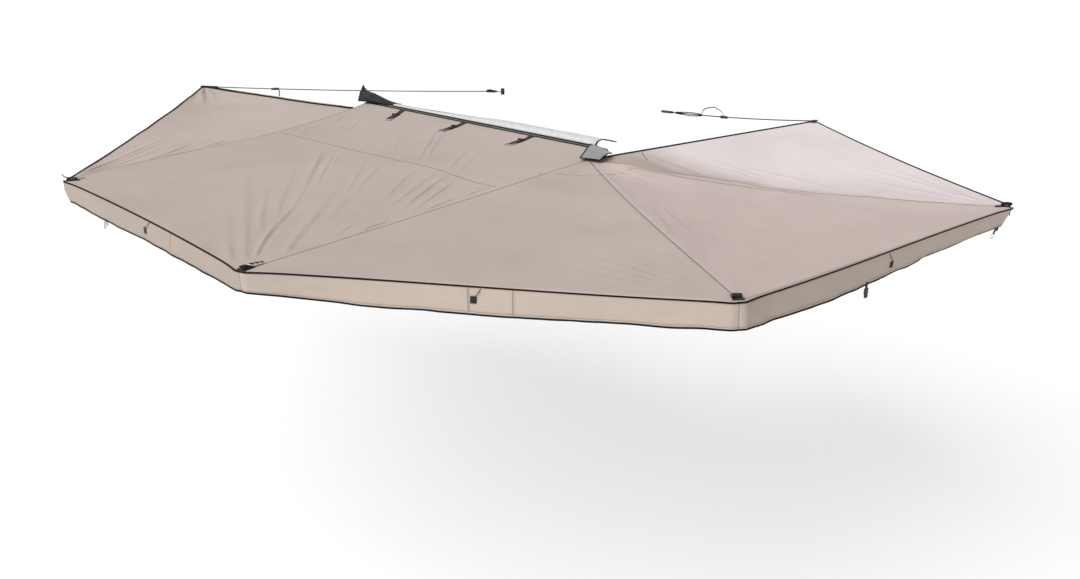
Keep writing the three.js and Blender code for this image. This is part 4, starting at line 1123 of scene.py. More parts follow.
# Close to a line that holds the cloth there is least relief, further off all of it
HELD_NEAR, HELD_FAR, LEAST_RELIEF = 0.008, 0.030, 0.15


def edge_mask(points, lines):
    """Less relief near lines that hold the cloth: the seams over the arms and the bound edges."""
    mask = np.ones(points.shape[:-1])
    for a, b in lines:
        a, b = np.asarray(a)[:2], np.asarray(b)[:2]
        run = b - a
        t = limit(((points[..., 0] - a[0]) * run[0] + (points[..., 1] - a[1]) * run[1]) / (run @ run))
        off = np.hypot(points[..., 0] - a[0] - t * run[0], points[..., 1] - a[1] - t * run[1])
        mask = np.minimum(mask, mix(LEAST_RELIEF, 1.0, smooth((off - HELD_NEAR) / (HELD_FAR - HELD_NEAR))))
    return mask


HOLDING = [
    (HUB_POINT, CORNER["side"]), (HUB_POINT, CORNER["corner"]),
    (CORNER["front"], CORNER["side"]), (CORNER["side"], CORNER["corner"]),
    (CORNER["corner"], CORNER["rear"]),
    (CORNER["rear"], REAR_TIP), (HUB_POINT, REAR_TIP), (FRONT_CORNER, FRONT_TIP),
    (FRONT_TIP, CORNER["front"]),
]


def creased(points, with_marks=False):
    """Adds the relief, the same for every piece that holds a place, so that pieces still meet."""
    out = points.copy()
    mask = edge_mask(points, HOLDING)
    away = np.hypot(points[..., 0], points[..., 1])
    mask = mask * smooth((away - 0.03) / 0.2)
    track = limit((points[..., 1] - PLATE) / 0.03)
    by_track = (points[..., 0] > 0.05) & (points[..., 0] < 2.45) & (points[..., 1] < 0)
    mask = np.where(by_track, mask * track, mask)
    height, marks = relief(points[..., 0], points[..., 1])
    out[..., 2] += height * mask
    return (out, marks) if with_marks else out


def even_rows(count):
    """A sheet's count of rows, scaled by the detail setting."""
    return max(8, int(count * detail))


FABRIC = 0.0009

# How much shade is painted on the panels beside the rear arm: on its seam, far from it, and how far the first
# reaches
RIDGE_PAINTED_SHADE = {"rear_wing_cloth": (0.38, 0.0, 0.25), "rear_panel_cloth": (0.0, 0.20, 0.50)}


def ridge_painted_shade(name, surface):
    """The cloth's painted shade beside the seam over the rear arm: more on the wing near it, more on the rear
    panel away from it.
    """
    if name not in RIDGE_PAINTED_SHADE:
        return 0.0
    on_seam, far_off, reach = RIDGE_PAINTED_SHADE[name]
    x, y = unit(CORNER["rear"][:2])
    distance = surface[..., 0] * y - surface[..., 1] * x
    nearness = np.exp(-((distance / reach) ** 2))
    return far_off + (on_seam - far_off) * nearness


def canopy_panel(name, points, arm, look="canopy"):
    surface, marks = creased(points, True)
    marks = marks + ridge_painted_shade(f"{name}_cloth", surface)
    made = grid_object(f"{name}_cloth", surface, looks[look], FABRIC, flip=True)
    # The painted shade for the canvas colour, along the folds and beside the rear arm
    layer = made.data.attributes.new("fold_painted_shade", "FLOAT", "POINT")
    layer.data.foreach_set("value", marks.astype(np.float32).ravel())
    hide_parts(f"canopy_{name}")
    gather(made, arm)
    declare_sheet(made)


case_grid = case_bay.grid(even_rows(380), even_rows(290))
side_grid = side_bay.grid(even_rows(380), even_rows(260))
side_points = np.concatenate([case_grid, side_grid[:, 1:]], axis=1)
canopy_panel("side_panel", side_points, "front")
corner_points = corner_bay.grid(even_rows(260), even_rows(190))
canopy_panel("corner_panel", corner_points, "side")
rear_points = rear_bay.grid(even_rows(260), even_rows(200))
canopy_panel("rear_panel", rear_points, "corner", "canopy_rear")
wing_points = wing_bay.grid(even_rows(260), even_rows(190))
canopy_panel("rear_wing", wing_points, "rear", "canopy_wing")
tip_points = front_wing(evenly(even_rows(240))[:, None], evenly(even_rows(250))[None, :])
canopy_panel("front_wing", tip_points, "front", "canopy_front")

# Seams, bindings and the canopy's edges

BAND_STEP = 0.02


def on_cloth(points, lift):
    out = creased(np.asarray(points, float))
    out[..., 2] += lift
    return out


def lay_band(name, path, width, wall, look, arm):
    """A seam's tape, laid on the cloth."""
    path = on_cloth(resample(path, BAND_STEP), wall / 2)
    return soft_piece(band(name, path, width, wall, wall * 0.45, look), arm)


def bound_edge(name, path, width, wall, arm, look="binding", lift=0.0):
    path = on_cloth(resample(path, BAND_STEP), lift)
    return soft_piece(band(name, path, width, wall, wall * 0.4, look), arm)


seam_run = evenly(160)
for name in ORDER[1:]:
    path = SPOKES[name](0.004 + seam_run * 0.975, 0 * seam_run)
    lay_band(f"{name}_arm_seam", path, 0.012, 0.0012, "seam", name)
wing_seam = case_bay.open(1 + 0 * seam_run, 0.004 + seam_run * 0.99)
lay_band("front_wing_seam", wing_seam, 0.010, 0.0012, "thin_seam", "front")


def plan_line(points, surface_points):
    """Heights for a line in plan, read from the nearest points of the smooth surface."""
    flat = surface_points.reshape(-1, 3)
    out = []
    for p in points:
        d = np.hypot(flat[:, 0] - p[0], flat[:, 1] - p[1])
        k = np.argpartition(d, 4)[:4]
        w = 1 / np.maximum(d[k], 1e-4) ** 2
        out.append([p[0], p[1], float((flat[k, 2] * w).sum() / w.sum())])
    return np.array(out)


PANELS_OF = {
    "side": side_points,
    "corner": corner_bay.grid(150, 130),
    "rear": rear_bay.grid(150, 130),
    "wing": wing_bay.grid(150, 120),
}

# The seams across a panel, in plan, with their panel and the arm they ride on
CROSS_SEAMS = {
    "cross_seam": ([(1.90, 0.74), (1.44, 0.745), (1.01, 0.747), (0.59, 0.765), (0.27, 0.744), (-0.13, 0.715)],
                   "side", "front"),
    "patch_seam_corner": ([(-0.07, 0.40), (-0.16, 0.285), (-0.26, 0.172)], "corner", "side"),
    "patch_seam_rear": ([(-0.26, 0.172), (-0.262, 0.10), (-0.262, 0.0), (-0.27, -0.11)], "rear", "corner"),
    "patch_seam_wing": ([(-0.17, -0.267), (-0.12, -0.291), (-0.07, -0.322)], "wing", "rear"),
}
for name, (points, panel, arm) in CROSS_SEAMS.items():
    path = plan_line(curve_through([(*p, 0) for p in points], 100), PANELS_OF[panel])
    path[1:-1, 2] = np.convolve(path[:, 2], np.ones(3) / 3, mode="valid")
    lay_band(name, path, 0.010, 0.0011, "thin_seam", arm)

outer_run, inner_run = evenly(140), evenly(120)
outer_edge = front_wing(inner_run, 1 + 0 * inner_run)[::-1]
bound_edge("front_wing_outer_binding", outer_edge, 0.014, 0.005, "front")
inner_edge = front_wing(inner_run, 0 * inner_run)
bound_edge("front_wing_inner_binding", inner_edge, 0.026, 0.013, "front", lift=0.003)
bound_edge("front_wing_inner_rim", inner_edge[8:-30], 0.012, 0.004, "front", "canopy_wing",
           0.0105)
inner_edge = rear_edge_spoke(inner_run * 0.995 + 0.004, inner_run)
bound_edge("rear_wing_inner_binding", inner_edge, 0.022, 0.007, "rear")
outer_edge = wing_bay.open(1 + 0 * outer_run, outer_run)
bound_edge("rear_wing_outer_binding", outer_edge, 0.014, 0.005, "rear")

# Valances: one sheet along each outer edge, piped at the top and bound at the hem

# Each one's bay, its arm, its depths along it, how far its two ends start below the canopy's edge, and a seed
VALANCES = {
    "side": (side_bay, "front", [0.084, 0.098, 0.097, 0.088, 0.077], (0.0, 0.002), 1),
    "corner": (corner_bay, "side", [0.077, 0.100, 0.103, 0.100, 0.100], (0.002, 0.010), 2),
    "rear": (rear_bay, "corner", [0.100, 0.105, 0.103, 0.104, 0.086], (0.010, 0.005), 3),
}
CORNER_STAND = 0.012
END_OVERHANG = 0.010
CORNER_REACH = 0.085
FRONT_EDGE_SLANT = 0.045
REAR_HEM_LEAN = 0.045
EDGE_CORNERS = [CORNER[n] for n in ORDER]
ALONG_PLAN = np.array([1, 1, 0])


def outward_of(name):
    bay = VALANCES[name][0]
    start, end = bay.open(1.0, 0.0), bay.open(1.0, 1.0)
    return unit(np.array([end[1] - start[1], start[0] - end[0], 0.0]))


def outer_corner(k):
    """Where two valances meet, a little outside an arm's end."""
    point = EDGE_CORNERS[k]
    runs = [EDGE_CORNERS[j + 1] - EDGE_CORNERS[j] for j in (k - 1, k) if 0 <= j < 3]
    sides = [unit(np.array([run[1], -run[0], 0.0])) for run in runs]
    if len(sides) == 1:
        overhang = END_OVERHANG if k else -END_OVERHANG
        return point + sides[0] * CORNER_STAND + unit(runs[0]) * ALONG_PLAN * overhang
    middle = unit(sides[0] + sides[1])
    return point + middle * CORNER_STAND / float(middle @ sides[0])


def edge_line(name, s):
    """The canopy's outer edge from arm to arm, the flat strips over the arms among it."""
    bay = VALANCES[name][0]
    s = np.asarray(s, float)
    a, b = bay.first(np.array(1.0), np.array(0.0)), bay.second(np.array(1.0), np.array(0.0))
    run = math.hypot(*(b - a)[:2])
    t0 = float(strip_at(1.0)) / run
    inner = limit((s - t0) / (1 - 2 * t0))
    point = bay.open(np.ones_like(inner), inner)
    first = mix(a, bay.open(1.0, 0.0), limit(s / t0)[..., None])
    last = mix(bay.open(1.0, 1.0), b, limit((s - 1 + t0) / t0)[..., None])
    point = np.where((s < t0)[..., None], first, point)
    return np.where((s > 1 - t0)[..., None], last, point), run


def valance_point(name, across, s):
    """A place on the valance, by share down and along. At its ends it stands outside the arms' ends."""
    across, s = np.broadcast_arrays(np.asarray(across, float), np.asarray(s, float))
    _, _, depths, drops, seed = VALANCES[name]
    out = outward_of(name)
    if name == "side":
        s = s + FRONT_EDGE_SLANT * across**1.3 * (1 - s) ** 8
    top, run = edge_line(name, s)
    k = list(VALANCES).index(name)
    begin, end = outer_corner(k) - EDGE_CORNERS[k], outer_corner(k + 1) - EDGE_CORNERS[k + 1]
    first = np.exp(-((s * run) / CORNER_REACH) ** 2)[..., None]
    last = np.exp(-(((1 - s) * run) / CORNER_REACH) ** 2)[..., None]
    top = top + out * 0.0015 * (1 - first - last) + begin * first + end * last
    top[..., 2] -= mix(*drops, s)
    x = s * run
    free = limit(6 * hump(s))
    lazy = 0.003 * np.sin(2 * math.pi * (3.5 * s + 0.1 * seed)) * hump(s)
    ripple = 0.0045 * noise(x, 0 * x, 0.17, seed) + 0.0025 * noise(x, across * 0.1, 0.06, seed + 5)
    away = across * (0.008 * free + lazy) + across**1.3 * ripple * free
    away = away + 0.0016 * noise(x, across * 0.3, 0.09, seed + 8) * hump(across) * free
    if name == "rear":
        away = away - across * REAR_HEM_LEAN * smooth((s - 0.35) / 0.4)
    depth = np.interp(s, evenly(len(depths)), depths)
    hem = depth + 0.0018 * noise(x, 0 * x, 0.11, seed + 20) * limit(4 * hump(s))
    point = top + out * away[..., None]
    point[..., 2] -= across * hem
    return point


def make_valance(name):
    arm, out = VALANCES[name][1], outward_of(name)
    along, line = evenly(even_rows(260)), evenly(200)
    edge, _ = edge_line(name, along)
    points = valance_point(name, evenly(even_rows(26))[:, None], along[None, :])
    look = looks["side_valance" if name == "side" else "valance"]
    made = grid_object(f"{name}_valance_cloth", np.concatenate([edge[None], points]), look, 0.0009, 0.0)
    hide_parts(f"{name}_valance")
    soft_piece(made, arm)
    declare_sheet(made)
    hem = valance_point(name, 1.0 + 0 * line, line) + np.array([0, 0, 0.003])
    top = valance_point(name, 0.0 * line, line) + np.array([0, 0, 0.0005])
    rows = valance_point(name, 0.86 + 0 * line, line) + out * 0.0008
    outward_up = tuple(unit(out + np.array([0, 0, 0.9])))
    binding = band(f"{name}_hem_binding", hem, 0.0075, 0.0040, 0.0018, up=tuple(out))
    piping = band(f"{name}_edge_piping", top, 0.0075, 0.0044, 0.0020, up=outward_up)
    stitching = band(f"{name}_hem_stitching", rows, 0.004, 0.0008, 0.0003, "hem_seam", tuple(out))
    soft_piece(binding, arm)
    soft_piece(piping, arm)
    soft_piece(stitching, arm)


for name in VALANCES:
    make_valance(name)

# Vertical seams down the valances, by share along
for label, name, share in (("side_valance_seam", "side", 0.646), ("corner_valance_seam_1", "corner", 0.470),
                           ("corner_valance_seam_2", "corner", 0.561)):
    down, out = np.linspace(0.02, 0.97, 24), outward_of(name)
    path = valance_point(name, down, share + 0 * down) + out * 0.0012
    seam = band(label, path, 0.009, 0.0011, 0.0004, "hem_seam", tuple(out))
    soft_piece(seam, VALANCES[name][1])


def edge_frame(name, across, s):
    point = valance_point(name, across, s)
    ahead = unit(valance_point(name, across, s + 0.004) - point)
    below, over = min(across + 0.05, 1.0), max(across - 0.05, 0.0)
    down = unit(valance_point(name, below, s) - valance_point(name, over, s))
    out = unit(np.cross(down, ahead))
    if out @ outward_of(name) < 0:
        out = -out
    return point, ahead, down, out


def hang_on(name, label, parts):
    """Joins parts into one piece that rides with a valance."""
    return soft_piece(join(label, parts), VALANCES[name][1])


def toggle(name, s, across, cord_from):
    """A square black tab sewn to the valance, with the thin cord that ties the valance up above it."""
    point, ahead, down, out = edge_frame(name, across, s)
    parts = []
    for low, high, edge, look in (
        ((-0.0115, -0.013, 0.0), (0.0115, 0.013, 0.0032), 0.0012, "webbing"),
        ((-0.010, 0.0104, 0.003), (0.010, 0.0110, 0.0036), 0.0002, "cord"),
        ((-0.010, -0.0110, 0.003), (0.010, -0.0104, 0.0036), 0.0002, "cord"),
    ):
        parts.append(place(local_box(low, high, edge, looks[look]), point + out * 0.0006, ahead, tuple(out)))
    hang_on(name, f"{name}_valance_tab", parts)
    start, _, _, _ = edge_frame(name, cord_from[1], cord_from[0])
    end = point - down * 0.010 + ahead * 0.004
    middle = (start + end) / 2 + out * 0.006 + down * 0.003
    line = curve_through([start + out * 0.002, middle, end + out * 0.004], 24)
    cord = sweep(f"{name}_valance_cord", line, ring_section(0.0013), looks["cord"], tuple(out))
    soft_piece(cord, VALANCES[name][1])


toggle("side", 0.502, 0.50, (0.530, 0.06))
toggle("corner", 0.481, 0.45, (0.496, 0.06))
toggle("rear", 0.503, 0.58, (0.489, 0.10))


def cord_loop(centre, across_way, down_way, wide, long, radius, turn):
    """A closed drop-shaped loop that hangs from its top."""
    t = np.linspace(0, 2 * math.pi, 40, endpoint=False)
    squeeze = 0.55 + 0.45 * np.sin(t / 2) ** 2
    a = wide / 2 * np.sin(t) * squeeze
    d = long * (1 - np.cos(t)) / 2
    way = unit(across_way * math.cos(turn) + down_way * math.sin(turn))
    down = unit(down_way * math.cos(turn) - across_way * math.sin(turn))
    path = centre[None] + a[:, None] * way[None] + d[:, None] * down[None]
    return sweep("loop", path, ring_section(radius), looks["cord"], tuple(np.cross(way, down)), closed=True)


def hanging_loops(name, s, rise, loops):
    """Cord loops under a hem: how far along each is, its width, length, radius and turn."""
    point, ahead, down, out = edge_frame(name, 1.0, s)
    return [cord_loop(point + ahead * shift - down * rise, ahead, down, *form) for shift, *form in loops]


side_loops = [(0.0, 0.018, 0.034, 0.0012, 0.12), (0.016, 0.012, 0.018, 0.0012, -0.35)]
hang_on("side", "side_hem_loops", hanging_loops("side", 0.253, -0.001, side_loops))


def hem_clip():
    """A side-release clip half on a short doubled webbing under the rear valance."""
    point, ahead, down, out = edge_frame("rear", 1.0, 0.408)
    strap = curve_through([point - down * 0.012, point + down * 0.008, point + down * 0.020], 12)
    parts = [band("strap", strap, 0.016, 0.0034, 0.0012, "webbing", tuple(out))]
    for low, high in (
        ((-0.011, -0.003, -0.0045), (0.011, 0.022, 0.0045)),
        ((-0.0095, 0.018, -0.0035), (-0.0055, 0.036, 0.0035)),
        ((0.0055, 0.018, -0.0035), (0.0095, 0.036, 0.0035)),
        ((-0.0016, 0.018, -0.0028), (0.0016, 0.033, 0.0028)),
        ((-0.0095, 0.032, -0.0035), (0.0095, 0.036, 0.0035)),
    ):
        part = local_box(low, high, 0.0014, looks["moulding"])
        if np.cross(out, ahead) @ down <= 0:
            part.data.transform(Matrix.Scale(-1, 4, Vector((0, 1, 0))))
            fix_normals(part)
        parts.append(place(part, point + down * 0.016, ahead, tuple(out)))
    hang_on("rear", "rear_hem_clip", parts)


def rear_corner_ring():
    """A webbing loop and a split ring that hang from the rear arm's corner."""
    share = 0.965
    point, ahead, down, out = edge_frame("rear", 1.0, share)
    loops = [(0.0, 0.014, 0.034, 0.0024, 0.1), (0.016, 0.010, 0.024, 0.0020, -0.2)]
    parts = hanging_loops("rear", share, 0.004, loops)
    t = np.linspace(0, 2 * math.pi, 32, endpoint=False)
    centre = point + down * 0.041
    ring = centre[None] + 0.015 * (np.cos(t)[:, None] * ahead[None] + np.sin(t)[:, None] * down[None])
    parts.append(sweep("ring", ring, ring_section(0.0018), looks["steel"], tuple(out), closed=True))
    hang_on("rear", "rear_corner_ring", parts)


hem_clip()
rear_corner_ring()

# Flat patches over the arms' ends: places along the arm, aside and up from its corner, then the band's
# width, wall and look, the black binding if none is named
CORNER_PATCHES = {
    "front": [
        ([(-0.045, 0.0, 0.0090), (-0.022, 0.0, 0.0125), (0.002, 0.0, 0.0130)], 0.024, 0.0030),
        ([(-0.006, 0.002, 0.0130), (0.010, 0.005, 0.020), (0.018, 0.008, 0.032)], 0.010, 0.0036),
    ],
    "side": [
        ([(-0.034, 0.0, 0.0100), (-0.016, 0.0, 0.0135), (0.004, 0.0, 0.0120)], 0.026, 0.0034),
        ([(-0.098, -0.003, 0.0050), (-0.066, -0.002, 0.0095), (-0.030, 0.0, 0.0125)], 0.012, 0.0024, "lining"),
        ([(-0.056, -0.002, 0.0120), (-0.050, -0.002, 0.0128), (-0.044, -0.001, 0.0130)], 0.018, 0.0036),
        ([(-0.080, -0.003, 0.0095), (-0.074, -0.003, 0.0105), (-0.068, -0.002, 0.0110)], 0.016, 0.0034),
        ([(-0.104, -0.004, 0.0055), (-0.098, -0.003, 0.0070), (-0.092, -0.003, 0.0080)], 0.014, 0.0032),
    ],
    "corner": [
        ([(-0.040, 0.010, 0.0070), (-0.018, 0.002, 0.0125), (0.010, -0.008, 0.0110)], 0.034, 0.0032),
    ],
    "rear": [
        ([(-0.036, 0.002, 0.0080), (-0.014, 0.002, 0.0140), (0.010, 0.0, 0.0120)], 0.030, 0.0090),
        ([(-0.024, -0.014, 0.0050), (-0.044, -0.020, 0.0040), (-0.062, -0.026, 0.0035)], 0.013, 0.0028),
    ],
}


def arm_ways(name):
    turn = arm_turn(name)
    return np.array([math.cos(turn), math.sin(turn), 0.0]), np.array([-math.sin(turn), math.cos(turn), 0.0])


for name, patches in CORNER_PATCHES.items():
    out, aside = arm_ways(name)
    parts = []
    for path, width, wall, *look in patches:
        line = [CORNER[name] + out * a + aside * b + np.array([0, 0, h]) for a, b, h in path]
        parts.append(band("patch", curve_through(line, 20), width, wall, wall * 0.4, *look))
    soft_piece(join(f"{name}_corner_webbing", parts), name)


def make_eyelet():
    """A pressed steel eyelet in the cloth near the front arm's corner."""
    out, aside = arm_ways("front")
    centre = CORNER["front"] - out * 0.060 - aside * 0.034
    t = np.linspace(0, 2 * math.pi, 36, endpoint=False)
    ring = centre[None] + np.stack([0.0085 * np.cos(t), 0.0085 * np.sin(t), 0 * t + 0.0022], 1)
    eyelet = band("front_corner_eyelet", ring, 0.0062, 0.0022, 0.0009, "steel", closed=True)
    soft_piece(eyelet, "front")


make_eyelet()

# The tips' end loops: doubled webbing sewn to each wing's tip, which takes the tie
TIP_STEPS = ((-0.050, 0.0040), (-0.010, 0.0050), (0.030, 0.0020))
for name, tip, toward in (("front", FRONT_TIP, (0.85, -0.35, 0.0)), ("rear", REAR_TIP, (0.35, -0.9, 0.0))):
    way = unit(np.array(toward))
    line = [tip + way * a + np.array([0, 0, h]) for a, h in TIP_STEPS]
    loop = band(f"{name}_tip_webbing", curve_through(line, 16), 0.030, 0.0036, 0.0014)
    soft_piece(loop, name)

# The bag round the case, its straps and the track's black edge

LOWER_FLAP_DROP = 0.190
PLATE_HEIGHT = 0.204
COVER_START, COVER_END = 0.150, PLATE_END - 0.300 - 2 * GAP
COVER_WIDTH, COVER_CROWN = 0.150, 0.028
POCKET_LENGTH, POCKET_HEIGHT, POCKET_RIM = 0.312, 0.110, 0.010
# The front pocket's mouth leans this far over the canopy
POCKET_SLUMP = 0.058


def case_piece(made, slot, *nodes):
    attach(made, "case")
    if nodes:
        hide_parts(*nodes)
    return made


def cloth_grid(point_at, rows, columns):
    return point_at(evenly(rows)[:, None], evenly(columns)[None, :])


def bag_edges(name, edges):
    """One binding piece from several bands: each one's path, width, wall, edge, look and up."""
    case_piece(join(name, [band("edge", *edge) for edge in edges]), "bag_cloth")


def cover_point(along, across):
    along, across = np.broadcast_arrays(np.asarray(along, float), np.asarray(across, float))
    taper = 1 - 0.72 * smooth((along - 0.30) / 0.70)
    x = COVER_START + along * (COVER_END - COVER_START)
    y = PLATE - TRACK_RADIUS - across * COVER_WIDTH * taper
    z = BAG_SEAT + COVER_CROWN * taper * np.sin(math.pi * across**0.6)
    soft = 0.0022 * noise(x, across * 0.1, 0.23, 41) + 0.0010 * noise(x, across * 0.1, 0.07, 42)
    hold = 1 - 0.10 * np.exp(-((noise(x, 0 * x, 0.5, 44)) / 0.3) ** 2) * hump(across)
    return np.stack([x, y, BAG_SEAT + (z - BAG_SEAT) * hold + hump(across) * soft], -1)


def make_cover():
    points = cloth_grid(cover_point, even_rows(220), even_rows(40))
    cover = grid_object("cover_flap_cloth", points, looks["lining"], 0.0012, flip=True)
    case_piece(cover, "bag_lining", "bag_cover_flap")
    declare_sheet(cover)
    line, short = evenly(160), evenly(30)
    bag_edges("cover_flap_binding", [
        (cover_point(line, 0 * line) + np.array([0, 0.002, -0.001]), 0.012, 0.0045, 0.002),
        (cover_point(line, 1 + 0 * line), 0.014, 0.004, 0.002),
        (cover_point(1 + 0 * short, short), 0.012, 0.004, 0.002),
        (cover_point(0 * short, short), 0.012, 0.004, 0.002),
    ])


def lower_point(along, across):
    along, across = np.broadcast_arrays(np.asarray(along, float), np.asarray(across, float))
    belly = 0.026 * np.sin(math.pi * across)
    x = PLATE_START + along * (PLATE_END - PLATE_START)
    waves = 0.006 * np.sin(x * 21 + 1.4 * noise(x, 0 * x, 0.4, 51)) + 0.003 * noise(x, across * 0.2, 0.09, 52)
    y = PLATE - across * 0.0032 + belly + across * hump(limit(along)) ** 0.3 * waves
    z = TRACK - TRACK_RADIUS - PLATE_HEIGHT - GAP - across * LOWER_FLAP_DROP
    z = z - 0.002 * noise(x, 0 * x, 0.3, 53) * across
    return np.stack([x, y, z], -1)


TOOTH_CORNERS = np.array([
    (-1, -1, -1), (1, -1, -1), (1, 1, -1), (-1, 1, -1), (-1, -1, 1), (1, -1, 1), (1, 1, 1), (-1, 1, 1),
])
TOOTH_FACES = ((0, 3, 2, 1), (4, 5, 6, 7), (0, 1, 5, 4), (1, 2, 6, 5), (2, 3, 7, 6), (3, 0, 4, 7))
TOOTH_HALF = np.array([0.0013, 0.0016, 0.003])
TOOTH_STEP = 0.0045


def make_lower_flap():
    points = cloth_grid(lower_point, even_rows(240), even_rows(40))
    flap = grid_object("lower_flap_cloth", points, looks["bag"], 0.0014, 0.0)
    case_piece(flap, "bag_cloth", "bag_lower_flap")
    declare_sheet(flap)
    line, short, up = evenly(200), evenly(30), (0, 1, 0)
    tape = lower_point(line, 0.01 + 0 * line) + np.array([0, 0, -0.004])
    bag_edges("lower_flap_binding", [
        (lower_point(line, 1 + 0 * line), 0.012, 0.0042, 0.0018, "binding", up),
        (lower_point(0 * short, short), 0.012, 0.0042, 0.0018, "binding", up),
        (lower_point(1 + 0 * short, short), 0.012, 0.0042, 0.0018, "binding", up),
        (tape, 0.018, 0.003, 0.0012, "webbing", up),
    ])
    zip_line = resample(lower_point(line, 0.93 + 0 * line), TOOTH_STEP)
    points, faces = [], []
    for tooth in zip_line[:-1:2] + np.array([0, 0.002, 0]):
        faces += [[len(points) + i for i in f] for f in TOOTH_FACES]
        points += list(tooth + TOOTH_HALF * TOOTH_CORNERS)
    uv = np.zeros((len(faces) * 4, 2))
    case_piece(new_object("lower_flap_zip", points, faces, uv, looks["moulding"], False), "black_moulding")


def pocket_height(along, across):
    size = (1 - along) ** (1 / 0.6)
    round_top = np.sin(math.pi * limit(across)) ** 0.6
    pinched = (1 - np.abs(2 * across - 1)) ** 0.85
    return (POCKET_RIM + POCKET_HEIGHT * size) * mix(pinched, round_top, smooth(along / 0.55))


def pocket_point(along, across):
    along, across = np.broadcast_arrays(np.asarray(along, float), np.asarray(across, float))
    slump = limit(1 - along) ** 1.3
    x = PLATE_END + 0.012 - along * POCKET_LENGTH + 0.012 * slump
    y = PLATE - TRACK_RADIUS - across * mix(0.070, 0.084, slump) + POCKET_SLUMP * slump
    h = 0.86 * pocket_height(along, across)
    crumple = limit(np.abs(noise(x, across * 0.30, 0.045, 61)) - 0.35)
    long_fold = limit(np.abs(noise(along * 0.15, across * 0.34, 0.030, 62)) - 0.15)
    crushed = 0.10 * crumple + 0.16 * long_fold
    h = h * (1 + 0.05 * noise(x, across * 0.2, 0.08, 63)) - hump(across) * h * crushed
    side = 0.005 * noise(x, across * 0.2 + 3, 0.05, 64) * hump(across)
    return np.stack([x, y + side, BAG_SEAT + 0.0005 + h], -1)


def make_pocket():
    columns = even_rows(60)
    shell = cloth_grid(pocket_point, even_rows(90), columns)
    base = shell[0].copy()
    base[:, 2] = BAG_SEAT - 0.0015
    t = evenly(22)[1:, None, None]
    face = mix(shell[0][None], base[None], t)
    across = hump(evenly(columns))[None, :]
    dent = 0.010 * hump(t[..., 0]) * across
    ripple = 0.003 * noise(face[..., 1] * 3, face[..., 2], 0.03, 66) * across
    face[..., 0] -= dent + np.abs(ripple)
    grid = np.concatenate([face[::-1], shell], axis=0)
    made = grid_object("front_pocket_cloth", grid, looks["bag"], 0.0015)
    sub = made.modifiers.new("soft", "SUBSURF")
    sub.levels = sub.render_levels = 1
    case_piece(made, "bag_cloth", "bag_front_pocket")
    declare_sheet(made)
    line = evenly(60)
    lip = pocket_point(0 * line, line) + np.array([0.0005, 0, 0.0008])
    near = pocket_point(line, 0.02 + 0 * line) + np.array([0, 0.002, -0.002])
    far = pocket_point(line, 0.98 + 0 * line) + np.array([0, -0.002, -0.002])
    bag_edges("front_pocket_binding", [
        (lip, 0.007, 0.003, 0.0013, "binding", (1, 0, 0)),
        (near, 0.009, 0.003, 0.0013),
        (far, 0.009, 0.003, 0.0013),
    ])


def rear_flap_point(along, across):
    along, across = np.broadcast_arrays(np.asarray(along, float), np.asarray(across, float))
    near = mix(np.array([-0.045, -0.125]), np.array([0.196, -0.215]), along[..., None])
    far = mix(np.array([-0.088, 0.002]), np.array([0.008, 0.046]), along[..., None])
    plan = mix(near, far, across[..., None])
    z = BAG_SEAT + 0.007 * np.sin(math.pi * across**0.7) - 0.012 * across**2 - 0.004 * (1 - along)
    soft = 0.0018 * noise(plan[..., 0], plan[..., 1], 0.05, 71) * hump(across) ** 0.5
    curl = 0.004 * limit((across - 0.85) / 0.15) ** 2 - 0.003 * limit((0.12 - along) / 0.12) ** 2
    return np.stack([plan[..., 0], plan[..., 1], z + soft + curl * 0.5], -1)


def make_rear_flap():
    points = cloth_grid(rear_flap_point, even_rows(50), even_rows(50))
    flap = grid_object("rear_flap_cloth", points, looks["darker_flap_lining"], 0.0014, flip=True)
    case_piece(flap, "bag_lining", "bag_rear_flap")
    declare_sheet(flap)
    line = evenly(40)
    sides = ((line, 1 + 0 * line), (0 * line, line), (1 + 0 * line, line), (line, 0 * line))
    bag_edges("rear_flap_binding", [(rear_flap_point(*side), 0.010, 0.004, 0.0018) for side in sides])


make_cover()
make_lower_flap()
make_pocket()
make_rear_flap()

# The black tape that feeds the canopy's bead into the track
tape_x = np.linspace(0.072, PLATE_END - 0.001, 240)
tape_rise = TRACK + 0.0022 + 0.0006 * noise(tape_x, 0 * tape_x, 0.05, 81)
tape = np.stack([tape_x, PLATE + 0.004 + 0 * tape_x, tape_rise], 1)
case_piece(band("track_tape", tape, 0.018, 0.0030, 0.0013), "black_webbing")
bead = np.stack([tape_x, PLATE - 0.0085 + 0 * tape_x, TRACK + 0 * tape_x], 1)
case_piece(sweep("track_bead", bead, ring_section(0.0042, 10), looks["binding"]), "black_webbing")

# Where along the case each bag strap is, how far it is turned, how far it reaches, and a seed
BAG_STRAPS = {"front": (1.950, 34, 0.260, 1), "middle": (1.288, 13, 0.206, 2), "rear": (0.657, 13, 0.206, 3)}
STRAP_SHARES = evenly(21)
BUCKLE_BARS = (
    ((-0.022, -0.024, 0.0), (0.022, -0.0165, 0.007)),
    ((-0.022, 0.0165, 0.0), (0.022, 0.024, 0.007)),
    ((-0.022, -0.024, 0.0), (-0.0155, 0.024, 0.0065)),
    ((0.0165, -0.024, 0.0), (0.022, 0.024, 0.006)),
    ((-0.004, -0.0175, 0.0015), (0.0015, 0.0175, 0.0065)),
)
KEEPER_CORNERS = ((-0.021, -0.005), (0.021, -0.005), (0.021, 0.005), (-0.021, 0.005), (-0.021, -0.005))


